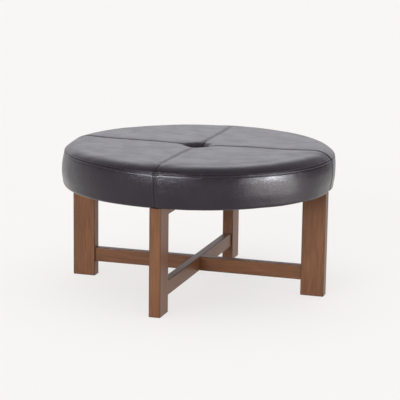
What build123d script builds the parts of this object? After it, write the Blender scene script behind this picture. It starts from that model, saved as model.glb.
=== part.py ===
from build123d import *
import math
import os

# A round ottoman coffee table: a leather-covered disc cushion with one deep button tuft, on four
# legs that are joined by two crossed stretchers near the floor and two crossed rails under the seat.
# Millimetres, +Z up. The origin is on the floor, under the middle of the table. +X points along one
# stretcher to the right leg, and +Y along the other to the back leg.

# Legs
leg_height = 346.0              # length of the timber itself
leg_width = 78.0                # along the stretcher that it ends
leg_thickness = 38.0
leg_setback = 15.5              # outer face of a leg, in from the widest part of the cushion
leg_edge_radius = 2.5
leg_end_chamfer = 1.0

# Low stretchers
stretcher_height = 48.0
stretcher_thickness = 26.0
stretcher_lift = 51.0           # underside above the floor
stretcher_edge_radius = 2.0

# Upper rails, under the seat
rail_height = 35.0
rail_thickness = 26.0
rail_edge_radius = 1.5
lap_clearance = 0.1             # on each side of a half-lap's notch

# Dowels between legs, stretchers and rails
dowel_radius = 4.0
dowel_length = 50.0
dowel_chamfer = 1.0
dowel_glue_gap = 0.1            # around a dowel
dowel_end_gap = 1.0             # past each end of a dowel
stretcher_dowel_spacing = 22.0
rail_dowel_spacing = 16.0

# Nail-on glides, let into the leg ends
glide_radius = 11.0
glide_thickness = 3.0
glide_stand = 1.0               # the glide's face stands this far out of the leg
glide_chamfer = 0.5
glide_nail_radius = 1.1
glide_nail_length = 15.0
glide_seat_clearance = 0.2

# Cushion, measured over the leather
seat_diameter = 911.0           # at the widest part of the side band
band_height = 108.5             # underside of the cover up to the rim seam
crown_rise = 24.0               # rim seam up to the highest ring of the top
crown_radius = 230.0            # radius of that highest ring
rim_inset = 5.0                 # rim seam, in from the widest part
foot_inset = 8.0                # lower edge, drawn in from the widest part
bulge_upper_drop = 24.5         # rim seam down to where the band reaches its full width
bulge_upper_rounding = 45.0
bulge_lower_rise = 44.0         # underside up to where the band starts to draw in
bulge_lower_rounding = 80.0
foot_rounding = 9.0
tuck_width = 62.0               # how far the cover is turned in under the seat board
shoulder_run = 26.5             # shoulder's corner, in from the rim seam
shoulder_drop = 3.0             # and below the crown
shoulder_rounding = 90.0

# The button tuft's dimple
tuft_depth = 31.5
tuft_floor_radius = 15.0
tuft_neck_radius = 30.0
tuft_neck_drop = 14.5
tuft_neck_rounding = 20.0
tuft_lip_radius = 48.0
tuft_lip_drop = 1.0
tuft_lip_rounding = 40.0

# Cover and filling
cover_thickness = 2.0           # leather with its sewn-on backing cloth
seam_roll = 1.3                 # a panel's edge rolls down into the seam by this much
batting_thickness = 8.0
eye_hole_radius = 3.0           # opening in cover and batting under the button

# Seat board
deck_thickness = 15.0
deck_edge_chamfer = 2.0

# Covered button, its twine and its washer
button_radius = 11.7
button_height = 7.5
button_side_height = 3.0        # upright side of the covered cap, below its dome
button_shell_wall = 1.4
button_back_thickness = 1.6
eye_tab_width = 4.0
eye_tab_height = 4.5
eye_tab_thickness = 1.0
eye_bore_radius = 1.2
twine_radius = 0.9
twine_hole_gap = 0.2
knot_radius = 2.0
knot_height = 2.4
washer_radius = 12.0
washer_thickness = 1.5
washer_recess_depth = 5.0
washer_recess_gap = 1.0

# Dust cover
dust_cloth_thickness = 0.4
dust_hem_thickness = 1.0
dust_hem_width = 12.0
dust_cover_setback = 45.5       # edge of the dust cover, in from the widest part of the cushion

# Staples
staple_crown = 9.5
staple_leg = 8.0
staple_wire = 0.6
staple_count = 40
cover_staple_inset = 8.0        # from the raw edge of the tucked cover
dust_staple_inset = 6.0         # from the edge of the dust cover

# Screws
screw_shank_radius = 2.2
screw_head_radius = 4.2
screw_head_height = 2.8
screw_point = 5.0
lap_screw_bite = 13.0           # how far a lap screw enters the upper half of its lap
seat_screw_recess = 6.0         # counterbore under the rail
seat_screw_recess_gap = 0.4
seat_screw_bite = 11.0          # how far a seat screw enters the board
seat_screw_inner_radius = 120.0
seat_screw_end_gap = 62.0       # outer seat screws, in from the ends of the rails

# Overrun of every cut, and how near a point must be to count as lying on an outline
cut_overrun = 5.0
outline_tolerance = 0.02
run_share = 0.98                # share of a straight run that its two roundings may take
middle_share = 0.5              # place of an edge's middle along it

# Angles, in degrees
quarter_turn = 90.0
half_turn = 2 * quarter_turn
full_turn = 4 * quarter_turn

# Worked-out levels and radii
band_radius = seat_diameter / 2
leg_face_radius = band_radius - leg_setback
shoulder_radius = leg_face_radius - leg_width
leg_top = glide_stand + leg_height
stretcher_middle = stretcher_lift + stretcher_height / 2
rail_lift = leg_top - rail_height
rail_middle = rail_lift + rail_height / 2
cover_underside = leg_top + dust_hem_thickness
rim_height = cover_underside + band_height
rim_radius = band_radius - rim_inset
crown_height = rim_height + crown_rise
foot_radius = band_radius - foot_inset
tuck_radius = foot_radius - tuck_width
tuft_floor = crown_height - tuft_depth
deck_underside = cover_underside + cover_thickness
deck_top = deck_underside + deck_thickness
deck_radius = foot_radius - cover_thickness - batting_thickness
washer_top = deck_underside + washer_recess_depth
washer_underside = washer_top - washer_thickness
dust_cover_radius = band_radius - dust_cover_setback
seat_screw_head = rail_lift + seat_screw_recess
seat_screw_outer_radius = shoulder_radius - seat_screw_end_gap
stretcher_dowel_heights = [
    stretcher_middle - stretcher_dowel_spacing / 2,
    stretcher_middle + stretcher_dowel_spacing / 2,
]
rail_dowel_heights = [
    rail_middle - rail_dowel_spacing / 2,
    rail_middle + rail_dowel_spacing / 2,
]
leg_bearings = {"right": 0, "back": quarter_turn, "left": half_turn, "front": -quarter_turn}
quarter_bearings = {
    "back_right": 0,
    "back_left": quarter_turn,
    "front_left": half_turn,
    "front_right": -quarter_turn,
}


def fitted_roundings(points, wanted):
    """Roundings of an outline's inner corners, each kept within the straight runs beside it."""
    corners = [Vector(*point) for point in points]
    runs = [end - start for start, end in zip(corners, corners[1:])]
    tangent_per_radius = []
    for before, after in zip(runs, runs[1:]):
        tangent_per_radius.append(math.tan(math.radians(before.get_angle(after)) / 2))
    tangents = [0.0] + [radius * ratio for radius, ratio in zip(wanted, tangent_per_radius)] + [0.0]
    fits = []
    for index, run in enumerate(runs):
        taken = tangents[index] + tangents[index + 1]
        fits.append(min(1.0, run.length * run_share / taken) if taken else 1.0)
    return [radius * min(fits[index], fits[index + 1]) for index, radius in enumerate(wanted)]


def cushion_outline():
    """Half outline of the covered cushion, from its axis over the top and under the lower edge."""
    points = [
        (0, tuft_floor),
        (tuft_floor_radius, tuft_floor),
        (tuft_neck_radius, crown_height - tuft_neck_drop),
        (tuft_lip_radius, crown_height - tuft_lip_drop),
        (crown_radius, crown_height),
        (rim_radius - shoulder_run, crown_height - shoulder_drop),
        (rim_radius, rim_height),
        (band_radius, rim_height - bulge_upper_drop),
        (band_radius, cover_underside + bulge_lower_rise),
        (foot_radius, cover_underside),
        (0, cover_underside),
    ]
    roundings = [
        0,
        tuft_neck_rounding,
        tuft_lip_rounding,
        0,
        shoulder_rounding,
        0,
        bulge_upper_rounding,
        bulge_lower_rounding,
        foot_rounding,
    ]
    return FilletPolyline(*points, radius=fitted_roundings(points, roundings))


def cushion_section(inset=0):
    """Half section of the cushion, its surface drawn in by inset."""
    outline = cushion_outline()
    half = make_face(Curve() + [outline, Line(outline @ 1, outline @ 0)])
    whole = half + mirror(half, Plane.YZ)
    if inset:
        whole = offset(whole, amount=-inset, kind=Kind.INTERSECTION)
    return whole & section_block(0, band_radius + cut_overrun, 0, crown_height + cut_overrun)


def section_block(inner_radius, outer_radius, low, high):
    """Rectangle of a half section, given by its radii and levels."""
    corner = Pos(inner_radius, low)
    return corner * Rectangle(outer_radius - inner_radius, high - low, align=Align.MIN)


def turned(section, arc=full_turn):
    """Solid turned about the table's axis from a half section."""
    return revolve(Plane.XZ * section, axis=Axis.Z, revolution_arc=arc)


def ring(inner_radius, outer_radius, low, high):
    """Washer shape about the table's axis."""
    return turned(section_block(inner_radius, outer_radius, low, high))


def rim_cut():
    """Part of the half section above the rim seam, which is cut square to the surface."""
    seam = Vector(rim_radius, rim_height)
    above = Vector(shoulder_run, shoulder_drop - crown_rise)
    below = Vector(rim_inset, -bulge_upper_drop)
    along = above.normalized() + below.normalized()
    outward = Vector(-along.Y, along.X).normalized()
    outer = seam + outward * (crown_rise + cut_overrun)
    inner = seam - outward * (crown_rise + cut_overrun)
    roof = crown_height + crown_rise + cut_overrun
    corners = [outer, inner, Vector(0, inner.Y), Vector(0, roof), Vector(outer.X, roof)]
    return make_face(Polyline(*corners, close=True))


def with_rolled_seams(panel):
    """Panel with its sewn edges rolled down into the seams."""
    surface = Plane.XZ * cushion_outline()
    sewn = []
    for edge in panel.edges():
        middle = edge @ middle_share
        radius = math.hypot(middle.X, middle.Y)
        on_surface = surface.distance_to(Vector(radius, 0, middle.Z)) < outline_tolerance
        on_quarter_seam = min(abs(middle.X), abs(middle.Y)) < outline_tolerance
        on_rim_seam = (Vector(radius, middle.Z) - Vector(rim_radius, rim_height)).length < outline_tolerance
        past_button = radius > tuft_floor_radius
        in_view = middle.Z > cover_underside + outline_tolerance
        if on_surface and past_button and in_view and (on_quarter_seam or on_rim_seam):
            sewn.append(edge)
    return chamfer(sewn, length=seam_roll)


def wood_screw(length):
    """Countersunk wood screw about +Z, its head's face at zero and its point up."""
    profile = Polyline(
        (0, 0),
        (screw_head_radius, 0),
        (screw_shank_radius, screw_head_height),
        (screw_shank_radius, length - screw_point),
        (0, length),
        close=True,
    )
    return turned(make_face(profile))


def staple(radius, bearing, level):
    """Staple driven upwards, its crown lying along the edge that it holds, under level."""
    crown = Box(staple_wire, staple_crown, staple_wire, align=(Align.CENTER, Align.CENTER, Align.MAX))
    leg = Box(staple_wire, staple_wire, staple_leg, align=(Align.CENTER, Align.MIN, Align.MIN))
    shape = crown + Pos(0, -staple_crown / 2) * leg + Pos(0, staple_crown / 2 - staple_wire) * leg
    return Rot(0, 0, bearing) * Pos(radius, 0, level) * shape


def staple_slot(radius, bearing, level):
    """Slot that a staple's two legs make."""
    slot = Box(staple_wire, staple_crown, staple_leg, align=(Align.CENTER, Align.CENTER, Align.MIN))
    return Rot(0, 0, bearing) * Pos(radius, 0, level) * slot


def dowel(height):
    """Dowel across the joint between the right leg and what ends there."""
    plug = Cylinder(dowel_radius, dowel_length)
    plug = chamfer(plug.edges(), length=dowel_chamfer)
    return Pos(shoulder_radius, 0, height) * Rot(0, quarter_turn, 0) * plug


def dowel_hole(height):
    """Hole on both sides of that joint for one dowel."""
    hole = Cylinder(dowel_radius + dowel_glue_gap, dowel_length + 2 * dowel_end_gap)
    return Pos(shoulder_radius, 0, height) * Rot(0, quarter_turn, 0) * hole


def glide():
    """Glide of the right leg: a flat button with a nail."""
    middle = leg_face_radius - leg_width / 2
    button = Cylinder(glide_radius, glide_thickness, align=(Align.CENTER, Align.CENTER, Align.MIN))
    button = chamfer(button.edges().group_by(Axis.Z)[0], length=glide_chamfer)
    nail_height = glide_thickness + glide_nail_length
    nail = Cylinder(glide_nail_radius, nail_height, align=(Align.CENTER, Align.CENTER, Align.MIN))
    return Pos(middle, 0, 0) * (button + nail)


def leg():
    """The right leg, with its dowel holes and the recess of its glide."""
    post = Box(leg_width, leg_thickness, leg_height, align=(Align.MAX, Align.CENTER, Align.MIN))
    post = fillet(post.edges().filter_by(Axis.Z), leg_edge_radius)
    post = chamfer(post.edges().group_by(Axis.Z)[0], length=leg_end_chamfer)
    post = Pos(leg_face_radius, 0, glide_stand) * post
    for height in stretcher_dowel_heights + rail_dowel_heights:
        post -= dowel_hole(height)
    middle = leg_face_radius - leg_width / 2
    recess = Cylinder(
        glide_radius + glide_seat_clearance, glide_thickness, align=(Align.CENTER, Align.CENTER, Align.MIN)
    )
    return post - Pos(middle, 0, 0) * recess - glide()


def crossed_bars(thickness, height, lift, edge_radius, dowel_heights):
    """Two bars between opposite legs, half-lapped where they cross: along X, then along Y."""
    bar = Box(2 * shoulder_radius, thickness, height, align=(Align.CENTER, Align.CENTER, Align.MIN))
    bar = Pos(0, 0, lift) * fillet(bar.edges().filter_by(Axis.X), edge_radius)
    for dowel_height in dowel_heights:
        bar -= dowel_hole(dowel_height)
        bar -= Rot(0, 0, half_turn) * dowel_hole(dowel_height)
    notch_width = thickness + 2 * lap_clearance
    notch = Box(notch_width, thickness + cut_overrun, height, align=(Align.CENTER, Align.CENTER, Align.MIN))
    middle = lift + height / 2
    along_x = bar - Pos(0, 0, middle) * notch
    along_y = Rot(0, 0, quarter_turn) * (bar - Pos(0, 0, middle - height) * notch)
    return along_x, along_y


def seat_screw_places():
    """Places under the upper rails where the seat is screwed on, on the rails' underside."""
    places = []
    for bearing in leg_bearings.values():
        for radius in (seat_screw_inner_radius, seat_screw_outer_radius):
            places.append(Rot(0, 0, bearing) * Pos(radius, 0, 0))
    return places


def seat_screws():
    """Screws up through the upper rails into the board, their heads sunk in the rails."""
    length = deck_underside + seat_screw_bite - seat_screw_head
    return [place * Pos(0, 0, seat_screw_head) * wood_screw(length) for place in seat_screw_places()]


def seat_screw_recesses():
    """Counterbores for the heads of those screws."""
    radius = screw_head_radius + seat_screw_recess_gap
    bore = ring(0, radius, rail_lift - cut_overrun, seat_screw_head)
    return [place * bore for place in seat_screw_places()]


def staple_row(shape, radius, level):
    """One row of staples, or of their slots, about the table's axis."""
    pitch = full_turn / staple_count
    return [shape(radius, pitch * index + pitch / 2, level) for index in range(staple_count)]


def plain_board():
    """The round plywood board with its upper edge eased, before anything is bored in it."""
    board = ring(0, deck_radius, deck_underside, deck_top)
    upper_edge = board.edges().filter_by(GeomType.CIRCLE).group_by(Axis.Z)[-1]
    return chamfer(upper_edge, length=deck_edge_chamfer)


def covered_button():
    """Leather-covered cap, and the pressed back plate with its eye tab."""
    side_top = tuft_floor + button_side_height
    dome_top = tuft_floor + button_height
    side = Polyline((0, tuft_floor), (button_radius, tuft_floor), (button_radius, side_top))
    dome = TangentArc((0, dome_top), side @ 1, tangent=(1, 0))
    cap = turned(make_face(Curve() + [side, dome, Line(dome @ 0, side @ 0)]))
    plate = ring(0, button_radius - button_shell_wall, tuft_floor, tuft_floor + button_back_thickness)
    tab = Box(eye_tab_width, eye_tab_thickness, eye_tab_height, align=(Align.CENTER, Align.CENTER, Align.MAX))
    bore = Cylinder(eye_bore_radius, 2 * eye_tab_thickness, rotation=(quarter_turn, 0, 0))
    tab -= Pos(0, 0, eye_tab_width / 2 - eye_tab_height) * bore
    return cap - plate, plate + Pos(0, 0, tuft_floor) * tab


def tuft_twine():
    """Twine from the washer's knot up to the button's eye."""
    strand = ring(0, twine_radius, washer_underside - knot_height, tuft_floor - eye_tab_height)
    knot = ring(0, knot_radius, washer_underside - knot_height, washer_underside)
    return strand + knot


def leg_frame():
    """Legs, glides, stretchers, rails, dowels and the screws of the two half-laps."""
    pieces = {"lower_dowels": [], "upper_dowels": []}
    for side, bearing in leg_bearings.items():
        turn = Rot(0, 0, bearing)
        pieces["leg_" + side] = turn * leg()
        pieces["glide_" + side] = turn * glide()
        pieces["lower_dowels"] += [turn * dowel(height) for height in stretcher_dowel_heights]
        pieces["upper_dowels"] += [turn * dowel(height) for height in rail_dowel_heights]

    lower_screw = Pos(0, 0, stretcher_lift) * wood_screw(stretcher_height / 2 + lap_screw_bite)
    upper_screw = Pos(0, 0, rail_lift) * wood_screw(rail_height / 2 + lap_screw_bite)
    pieces["lap_screws"] = [lower_screw, upper_screw]

    lower_x, lower_y = crossed_bars(
        stretcher_thickness, stretcher_height, stretcher_lift, stretcher_edge_radius, stretcher_dowel_heights
    )
    pieces["lower_stretcher_left_right"] = lower_x - lower_screw
    pieces["lower_stretcher_front_back"] = lower_y - lower_screw

    upper_x, upper_y = crossed_bars(
        rail_thickness, rail_height, rail_lift, rail_edge_radius, rail_dowel_heights
    )
    bores = seat_screws() + seat_screw_recesses() + [upper_screw]
    pieces["upper_rail_left_right"] = upper_x - bores
    pieces["upper_rail_front_back"] = upper_y - bores
    return pieces


def cushion_filling():
    """Foam pad on the board, and the batting that wraps the foam and the board's edge."""
    above_board = ring(0, band_radius + cut_overrun, deck_top, crown_height + cut_overrun)
    core = turned(cushion_section(cover_thickness + batting_thickness)) & above_board
    foam = core - ring(0, twine_radius + twine_hole_gap, deck_top - cut_overrun, crown_height)
    wrap = turned(cushion_section(cover_thickness)) - core - plain_board()
    batting = wrap - ring(0, eye_hole_radius, deck_top, crown_height)
    return {"foam_pad": foam, "batting": batting}


def cover_panels(slots):
    """Four top panels and four band panels of the cover, the band's lower edge tucked in and stapled."""
    section = cushion_section() - cushion_section(cover_thickness)
    section -= section_block(0, tuck_radius, 0, deck_top)
    section -= section_block(0, eye_hole_radius, 0, crown_height)
    top_panel = with_rolled_seams(turned(section & rim_cut(), quarter_turn))
    band_panel = with_rolled_seams(turned(section - rim_cut(), quarter_turn))
    panels = {}
    for quarter, bearing in quarter_bearings.items():
        panels["top_panel_" + quarter] = Rot(0, 0, bearing) * top_panel
        panels["band_panel_" + quarter] = Rot(0, 0, bearing) * band_panel - slots
    return panels


def seat():
    """Board, filling, cover, button tuft, dust cover and what holds them."""
    cover_edge = (tuck_radius + cover_staple_inset, cover_underside)
    dust_edge = (dust_cover_radius - dust_staple_inset, leg_top)
    slots = staple_row(staple_slot, *cover_edge) + staple_row(staple_slot, *dust_edge)
    screws = seat_screws()

    washer_hole = twine_radius + twine_hole_gap
    recess = ring(0, washer_radius + washer_recess_gap, deck_underside, washer_top)
    hem_inner_radius = dust_cover_radius - dust_hem_width
    cloth = ring(0, dust_cover_radius, leg_top, leg_top + dust_cloth_thickness)
    hem = ring(hem_inner_radius, dust_cover_radius, leg_top, leg_top + dust_hem_thickness)

    pieces = cushion_filling() | cover_panels(slots)
    pieces["seat_deck"] = plain_board() - ring(0, washer_hole, deck_underside, deck_top) - recess - screws - slots
    pieces["dust_cover"] = cloth + hem - screws - slots
    pieces["seat_screws"] = screws
    pieces["cover_staples"] = staple_row(staple, *cover_edge)
    pieces["dust_cover_staples"] = staple_row(staple, *dust_edge)
    pieces["button_shell"], pieces["button_back"] = covered_button()
    pieces["tuft_twine"] = tuft_twine()
    pieces["tuft_washer"] = ring(washer_hole, washer_radius, washer_underside, washer_top)
    return pieces


os.makedirs("parts", exist_ok=True)
for name, piece in (leg_frame() | seat()).items():
    copies = piece if isinstance(piece, list) else [piece]
    export_step(Compound(children=[copy.solid() for copy in copies]), "parts/" + name + ".step")
    print(name, "solids", len(copies))
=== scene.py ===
# %% [markdown]
# A round ottoman coffee table, dressed for a photograph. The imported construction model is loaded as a
# fixed frame: wooden pieces keep its solids and get a finish, while everything soft is sewn anew around
# it. All sizes here are in metres, +Z up, with the floor at zero.

# %% Load the construction model
import math

import bpy
import numpy as np
from mathutils import Matrix, Vector, noise


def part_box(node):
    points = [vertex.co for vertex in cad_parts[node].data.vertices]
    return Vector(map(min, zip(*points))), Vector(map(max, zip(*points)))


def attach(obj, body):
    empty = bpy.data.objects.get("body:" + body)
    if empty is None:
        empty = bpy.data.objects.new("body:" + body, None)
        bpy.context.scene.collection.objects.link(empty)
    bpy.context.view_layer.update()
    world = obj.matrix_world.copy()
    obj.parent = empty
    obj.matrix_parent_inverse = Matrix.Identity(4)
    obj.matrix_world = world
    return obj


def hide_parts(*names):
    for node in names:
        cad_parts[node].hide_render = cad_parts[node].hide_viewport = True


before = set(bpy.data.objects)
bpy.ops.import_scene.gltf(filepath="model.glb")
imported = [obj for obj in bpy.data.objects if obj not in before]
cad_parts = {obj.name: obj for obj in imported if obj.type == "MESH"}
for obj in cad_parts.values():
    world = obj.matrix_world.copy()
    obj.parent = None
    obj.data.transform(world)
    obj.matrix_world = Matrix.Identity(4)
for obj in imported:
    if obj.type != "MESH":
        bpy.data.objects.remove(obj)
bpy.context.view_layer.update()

MM = 0.001

# %% [markdown]
# The camera stands about five metres away and a little above the seat, with a long lens, so the
# uprights stay parallel. It is placed by a turn about the table, a height and a distance, and then
# rolled by less than a degree, as in the photograph.

# %% Camera
camera_distance = 5.057
camera_turn = math.radians(17.243)
camera_climb = math.radians(11.676)
camera_roll = math.radians(0.782)
camera_aim_height = 0.2892
camera_aim_right = 0.0067
lens_length = 136.4
sight_limit = 100


def aimed(turn, climb=0):
    """Unit vector by turn from the camera towards the right and by climb."""
    bearing, level = camera_turn + turn, math.cos(climb)
    return Vector((math.sin(bearing) * level, -math.cos(bearing) * level, math.sin(climb)))


back = aimed(0, camera_climb)
level_right = Vector((math.cos(camera_turn), math.sin(camera_turn), 0))
level_up = back.cross(level_right)
camera_right = math.cos(camera_roll) * level_right + math.sin(camera_roll) * level_up
camera_up = math.cos(camera_roll) * level_up - math.sin(camera_roll) * level_right
camera_place = Vector((0, 0, camera_aim_height)) + camera_aim_right * level_right + camera_distance * back

camera = bpy.data.objects.new("camera", bpy.data.cameras.new("camera"))
bpy.context.scene.collection.objects.link(camera)
camera.data.lens = lens_length
camera.data.clip_end = sight_limit
camera_axes = Matrix((camera_right, camera_up, back)).transposed().to_4x4()
camera.matrix_world = Matrix.Translation(camera_place) @ camera_axes
bpy.context.scene.camera = camera
bpy.context.scene.view_settings.view_transform = "Standard"
print("camera at", [round(x, 3) for x in camera_place])

# %% [markdown]
# Materials and worlds are node trees. One helper makes a node, sets it and wires it in one line, a few
# more do so for the nodes used most, and others start or end a material or a group of nodes, so that a
# finish reads like a recipe.

# %% Node helpers


def node(tree, kind, inputs=None, **settings):
    """New node in tree; inputs are values or other nodes' outputs, by socket name or number."""
    made = tree.nodes.new(kind)
    for name, value in settings.items():
        setattr(made, name, value)
    for name, value in (inputs or {}).items():
        if isinstance(value, bpy.types.NodeSocket):
            tree.links.new(value, made.inputs[name])
        else:
            made.inputs[name].default_value = value
    return made


def math_node(tree, operation, *values):
    """Number that a Math node makes of one, two or three values."""
    return node(tree, "ShaderNodeMath", dict(enumerate(values)), operation=operation).outputs[0]


def vector_node(tree, operation, *values):
    """Vector that a Vector Math node makes of its values, or the number for a length or a dot product."""
    made = node(tree, "ShaderNodeVectorMath", dict(enumerate(values)), operation=operation)
    return made.outputs["Value" if operation in ("LENGTH", "DOT_PRODUCT") else "Vector"]


def ramp_node(tree, value, low, high, low_result=0.0, high_result=1.0):
    """Smooth step from one result to another as value goes from low to high."""
    inputs = {"Value": value, "From Min": low, "From Max": high, "To Min": low_result, "To Max": high_result}
    return node(tree, "ShaderNodeMapRange", inputs, interpolation_type="SMOOTHSTEP").outputs[0]


def noise_node(tree, place, scale, detail, **more):
    """Cloudy noise from 0 to 1; more sets the noise's other sockets."""
    inputs = {"Vector": place, "Scale": scale, "Detail": detail, **more}
    return node(tree, "ShaderNodeTexNoise", inputs).outputs[0]


def mixed_colour(tree, share, first, second):
    """Colour between two others, by share."""
    mix = node(tree, "ShaderNodeMix", data_type="RGBA")
    for socket, value in ((mix.inputs[0], share), (mix.inputs[6], first), (mix.inputs[7], second)):
        if isinstance(value, bpy.types.NodeSocket):
            tree.links.new(value, socket)
        else:
            socket.default_value = value if isinstance(value, float) else (*value, 1)
    return mix.outputs[2]


def bump_node(tree, height, distance, strength, **more):
    """Normal of a surface with a relief; more sets the bump's other sockets."""
    inputs = {"Strength": strength, "Distance": distance, "Height": height, **more}
    return node(tree, "ShaderNodeBump", inputs).outputs[0]


print("node helpers ready")

# %% Helpers for materials and groups


def new_material(name):
    """Material with an empty tree, its surface output and the object's own coordinates."""
    material = bpy.data.materials.new(name)
    material.use_nodes = True
    tree = material.node_tree
    tree.nodes.clear()
    output = tree.nodes.new("ShaderNodeOutputMaterial")
    return material, tree, output, tree.nodes.new("ShaderNodeTexCoord").outputs["Object"]


def surface(tree, output, colour, dull, normal, more=None):
    """Ends a material in a Principled BSDF of a colour, a roughness and a normal, and more by name."""
    inputs = {"Base Color": colour, "Roughness": dull, "Normal": normal, **(more or {})}
    shader = node(tree, "ShaderNodeBsdfPrincipled", inputs)
    tree.links.new(shader.outputs[0], output.inputs[0])


def start_group(name, inputs):
    """Empty shader group with named inputs: the tree and its inputs by name."""
    tree = bpy.data.node_groups.new(name, "ShaderNodeTree")
    for label, value in inputs.items():
        kind = "NodeSocketVector" if isinstance(value, tuple) else "NodeSocketFloat"
        tree.interface.new_socket(label, in_out="INPUT", socket_type=kind).default_value = value
    return tree, tree.nodes.new("NodeGroupInput").outputs


def end_group(tree, results):
    """Gives a shader group its named outputs."""
    for label in results:
        tree.interface.new_socket(label, in_out="OUTPUT", socket_type="NodeSocketFloat")
    node(tree, "NodeGroupOutput", results)
    print("group", tree.name, "with", len(tree.nodes), "nodes")


print("helpers for materials and groups ready")

# %% [markdown]
# Leather shows its light more than its colour. In the photograph a white sweep behind the table, darker
# at its foot and narrower to the sides, fills the flat top with grey. A dark ceiling and the dim room
# behind the camera turn the shoulder and the band nearly black, and two soft boxes, a low flat one on
# the left and one on the right, leave a long glint along the rim and a broad glow on the band. A world
# that depends on direction gives them all, and a wide lamp overhead throws the soft shadow. Only
# reflections see the room, the boxes and the black flag at full contrast, so matt wood is lit plainly.

# %% Sizes and colours of the light
sweep_foot, sweep_full = 0.05, 0.33     # sines of the heights between which the sweep gets its full white
sweep_top, ceiling_start = 0.42, 0.79   # and of those between which it gives way to the ceiling
sweep_narrowing = 0.8           # how much lower the sweep ends towards the sides
foot_colour = (0.66, 0.655, 0.69)
sweep_colour = (1.12, 1.115, 1.17)
ceiling_colour = (0.44, 0.43, 0.47)
room_colour = (0.30, 0.285, 0.32)
room_edge, room_full = 0.1, 0.7  # cosines of the angles to the camera between which the dim room sets in
black = (0.0, 0.0, 0.0)
paper_white = (1.0, 0.985, 0.965)       # what the camera sees of the backdrop and the lit floor
overhead_strength = 0.8
overhead_width = math.radians(75)
box_tone = (0.99, 1.0, 1.08)    # soft boxes are daylight lamps, a little blue
box_edge_shares = (0.6, 1.4)    # of its half width, between which a soft box fades out
matt_share = 0.32               # share of a soft box's strength that falls on matt surfaces

# turn from the camera towards the right, climb, half width, flatness and strength
left_box = (math.radians(-32), math.radians(15.5), math.radians(22), 3.8, 30.0)
right_box = (math.radians(62), math.radians(-2), math.radians(10), 2.2, 62.0)
right_halo = (math.radians(60), math.radians(-4), math.radians(20), 1.3, 13.0)
black_flag = (math.radians(119), math.radians(4), math.radians(21), 1.0, 0.85)
print("soft boxes", [round(math.degrees(box[0])) for box in (left_box, right_box)], "degrees from the camera")

# %% World


def box_glow(tree, direction, turn, climb, half_width, flatness, strength):
    """Light of one soft box in a direction, fading over its edge."""
    away = vector_node(tree, "SUBTRACT", direction, aimed(turn, climb))
    distance = vector_node(tree, "LENGTH", vector_node(tree, "MULTIPLY", away, (1.0, 1.0, flatness)))
    inner, outer = (share * half_width for share in box_edge_shares)
    return ramp_node(tree, distance, inner, outer, strength, 0.0)


world = bpy.data.worlds.new("studio")
bpy.context.scene.world = world
world.use_nodes = True
sky = world.node_tree
sky.nodes.clear()
direction = node(sky, "ShaderNodeTexCoord").outputs["Generated"]
height = node(sky, "ShaderNodeSeparateXYZ", {0: direction}).outputs[2]
ray = node(sky, "ShaderNodeLightPath").outputs
reflected = ray["Is Glossy Ray"]
light = mixed_colour(sky, ramp_node(sky, height, sweep_foot, sweep_full), foot_colour, sweep_colour)
sideways = math_node(sky, "ABSOLUTE", vector_node(sky, "DOT_PRODUCT", direction, aimed(math.pi / 2)))
lifted = math_node(sky, "MULTIPLY_ADD", sideways, sweep_narrowing, height)
light = mixed_colour(sky, ramp_node(sky, lifted, sweep_top, ceiling_start), light, ceiling_colour)
room_share = ramp_node(sky, vector_node(sky, "DOT_PRODUCT", direction, aimed(0)), room_edge, room_full)
light = mixed_colour(sky, math_node(sky, "MULTIPLY", room_share, reflected), light, room_colour)
flag_share = math_node(sky, "MULTIPLY", box_glow(sky, direction, *black_flag), reflected)
light = mixed_colour(sky, flag_share, light, black)
box_share = math_node(sky, "MULTIPLY_ADD", reflected, 1 - matt_share, matt_share)
for box in (left_box, right_box, right_halo):
    glow = math_node(sky, "MULTIPLY", box_glow(sky, direction, *box), box_share)
    glow = node(sky, "ShaderNodeVectorMath", {0: box_tone, "Scale": glow}, operation="SCALE").outputs[0]
    light = vector_node(sky, "ADD", light, glow)
seen = mixed_colour(sky, ray["Is Camera Ray"], light, paper_white)
background = node(sky, "ShaderNodeBackground", {"Color": seen})
node(sky, "ShaderNodeOutputWorld", {0: background.outputs[0]})
print("world of", len(sky.nodes), "nodes with two soft boxes, a halo and a black flag")

# %% Overhead lamp
overhead = bpy.data.objects.new("overhead_lamp", bpy.data.lights.new("overhead_lamp", "SUN"))
bpy.context.scene.collection.objects.link(overhead)
overhead.data.energy = overhead_strength
overhead.data.angle = overhead_width
overhead.visible_glossy = False
print("overhead lamp", round(math.degrees(overhead_width)), "degrees wide")

# %% [markdown]
# The floor is plain and pale. To the camera and in reflections it is a little brighter than its own
# colour, so it reads as white paper and still keeps the table's shadow. In reflections it also shows a
# painted pool of light where the right soft box would light it, which draws the glow on the cushion
# downwards, and painted shade behind the table and towards the black flag.

# %% Floor
floor_reach = 30.0
floor_share = 0.28              # how much of the floor's look comes from the light that falls on it
paper_dark = (0.93, 0.91, 0.865)
paper_light = (0.96, 0.94, 0.895)
# strength of the painted pool of light, seen only in reflections
painted_light_strength = 7.5
lit_start, lit_full = 0.9, 2.2  # distances from the table between which the painted pool of light grows
flag_start, flag_full = 1.6, 3.2        # the same for the painted shade towards the black flag
far_shade = 0.35                # how much painted shade darkens the floor behind the table
far_start, far_full = 0.3, 0.9  # cosines of the angles to straight behind between which that sets in

floor_mesh = bpy.data.meshes.new("floor")
corners = [(-floor_reach, -floor_reach, 0), (floor_reach, -floor_reach, 0),
           (floor_reach, floor_reach, 0), (-floor_reach, floor_reach, 0)]
floor_mesh.from_pydata(corners, [], [(0, 1, 2, 3)])
floor = bpy.data.objects.new("floor", floor_mesh)
bpy.context.scene.collection.objects.link(floor)

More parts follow.
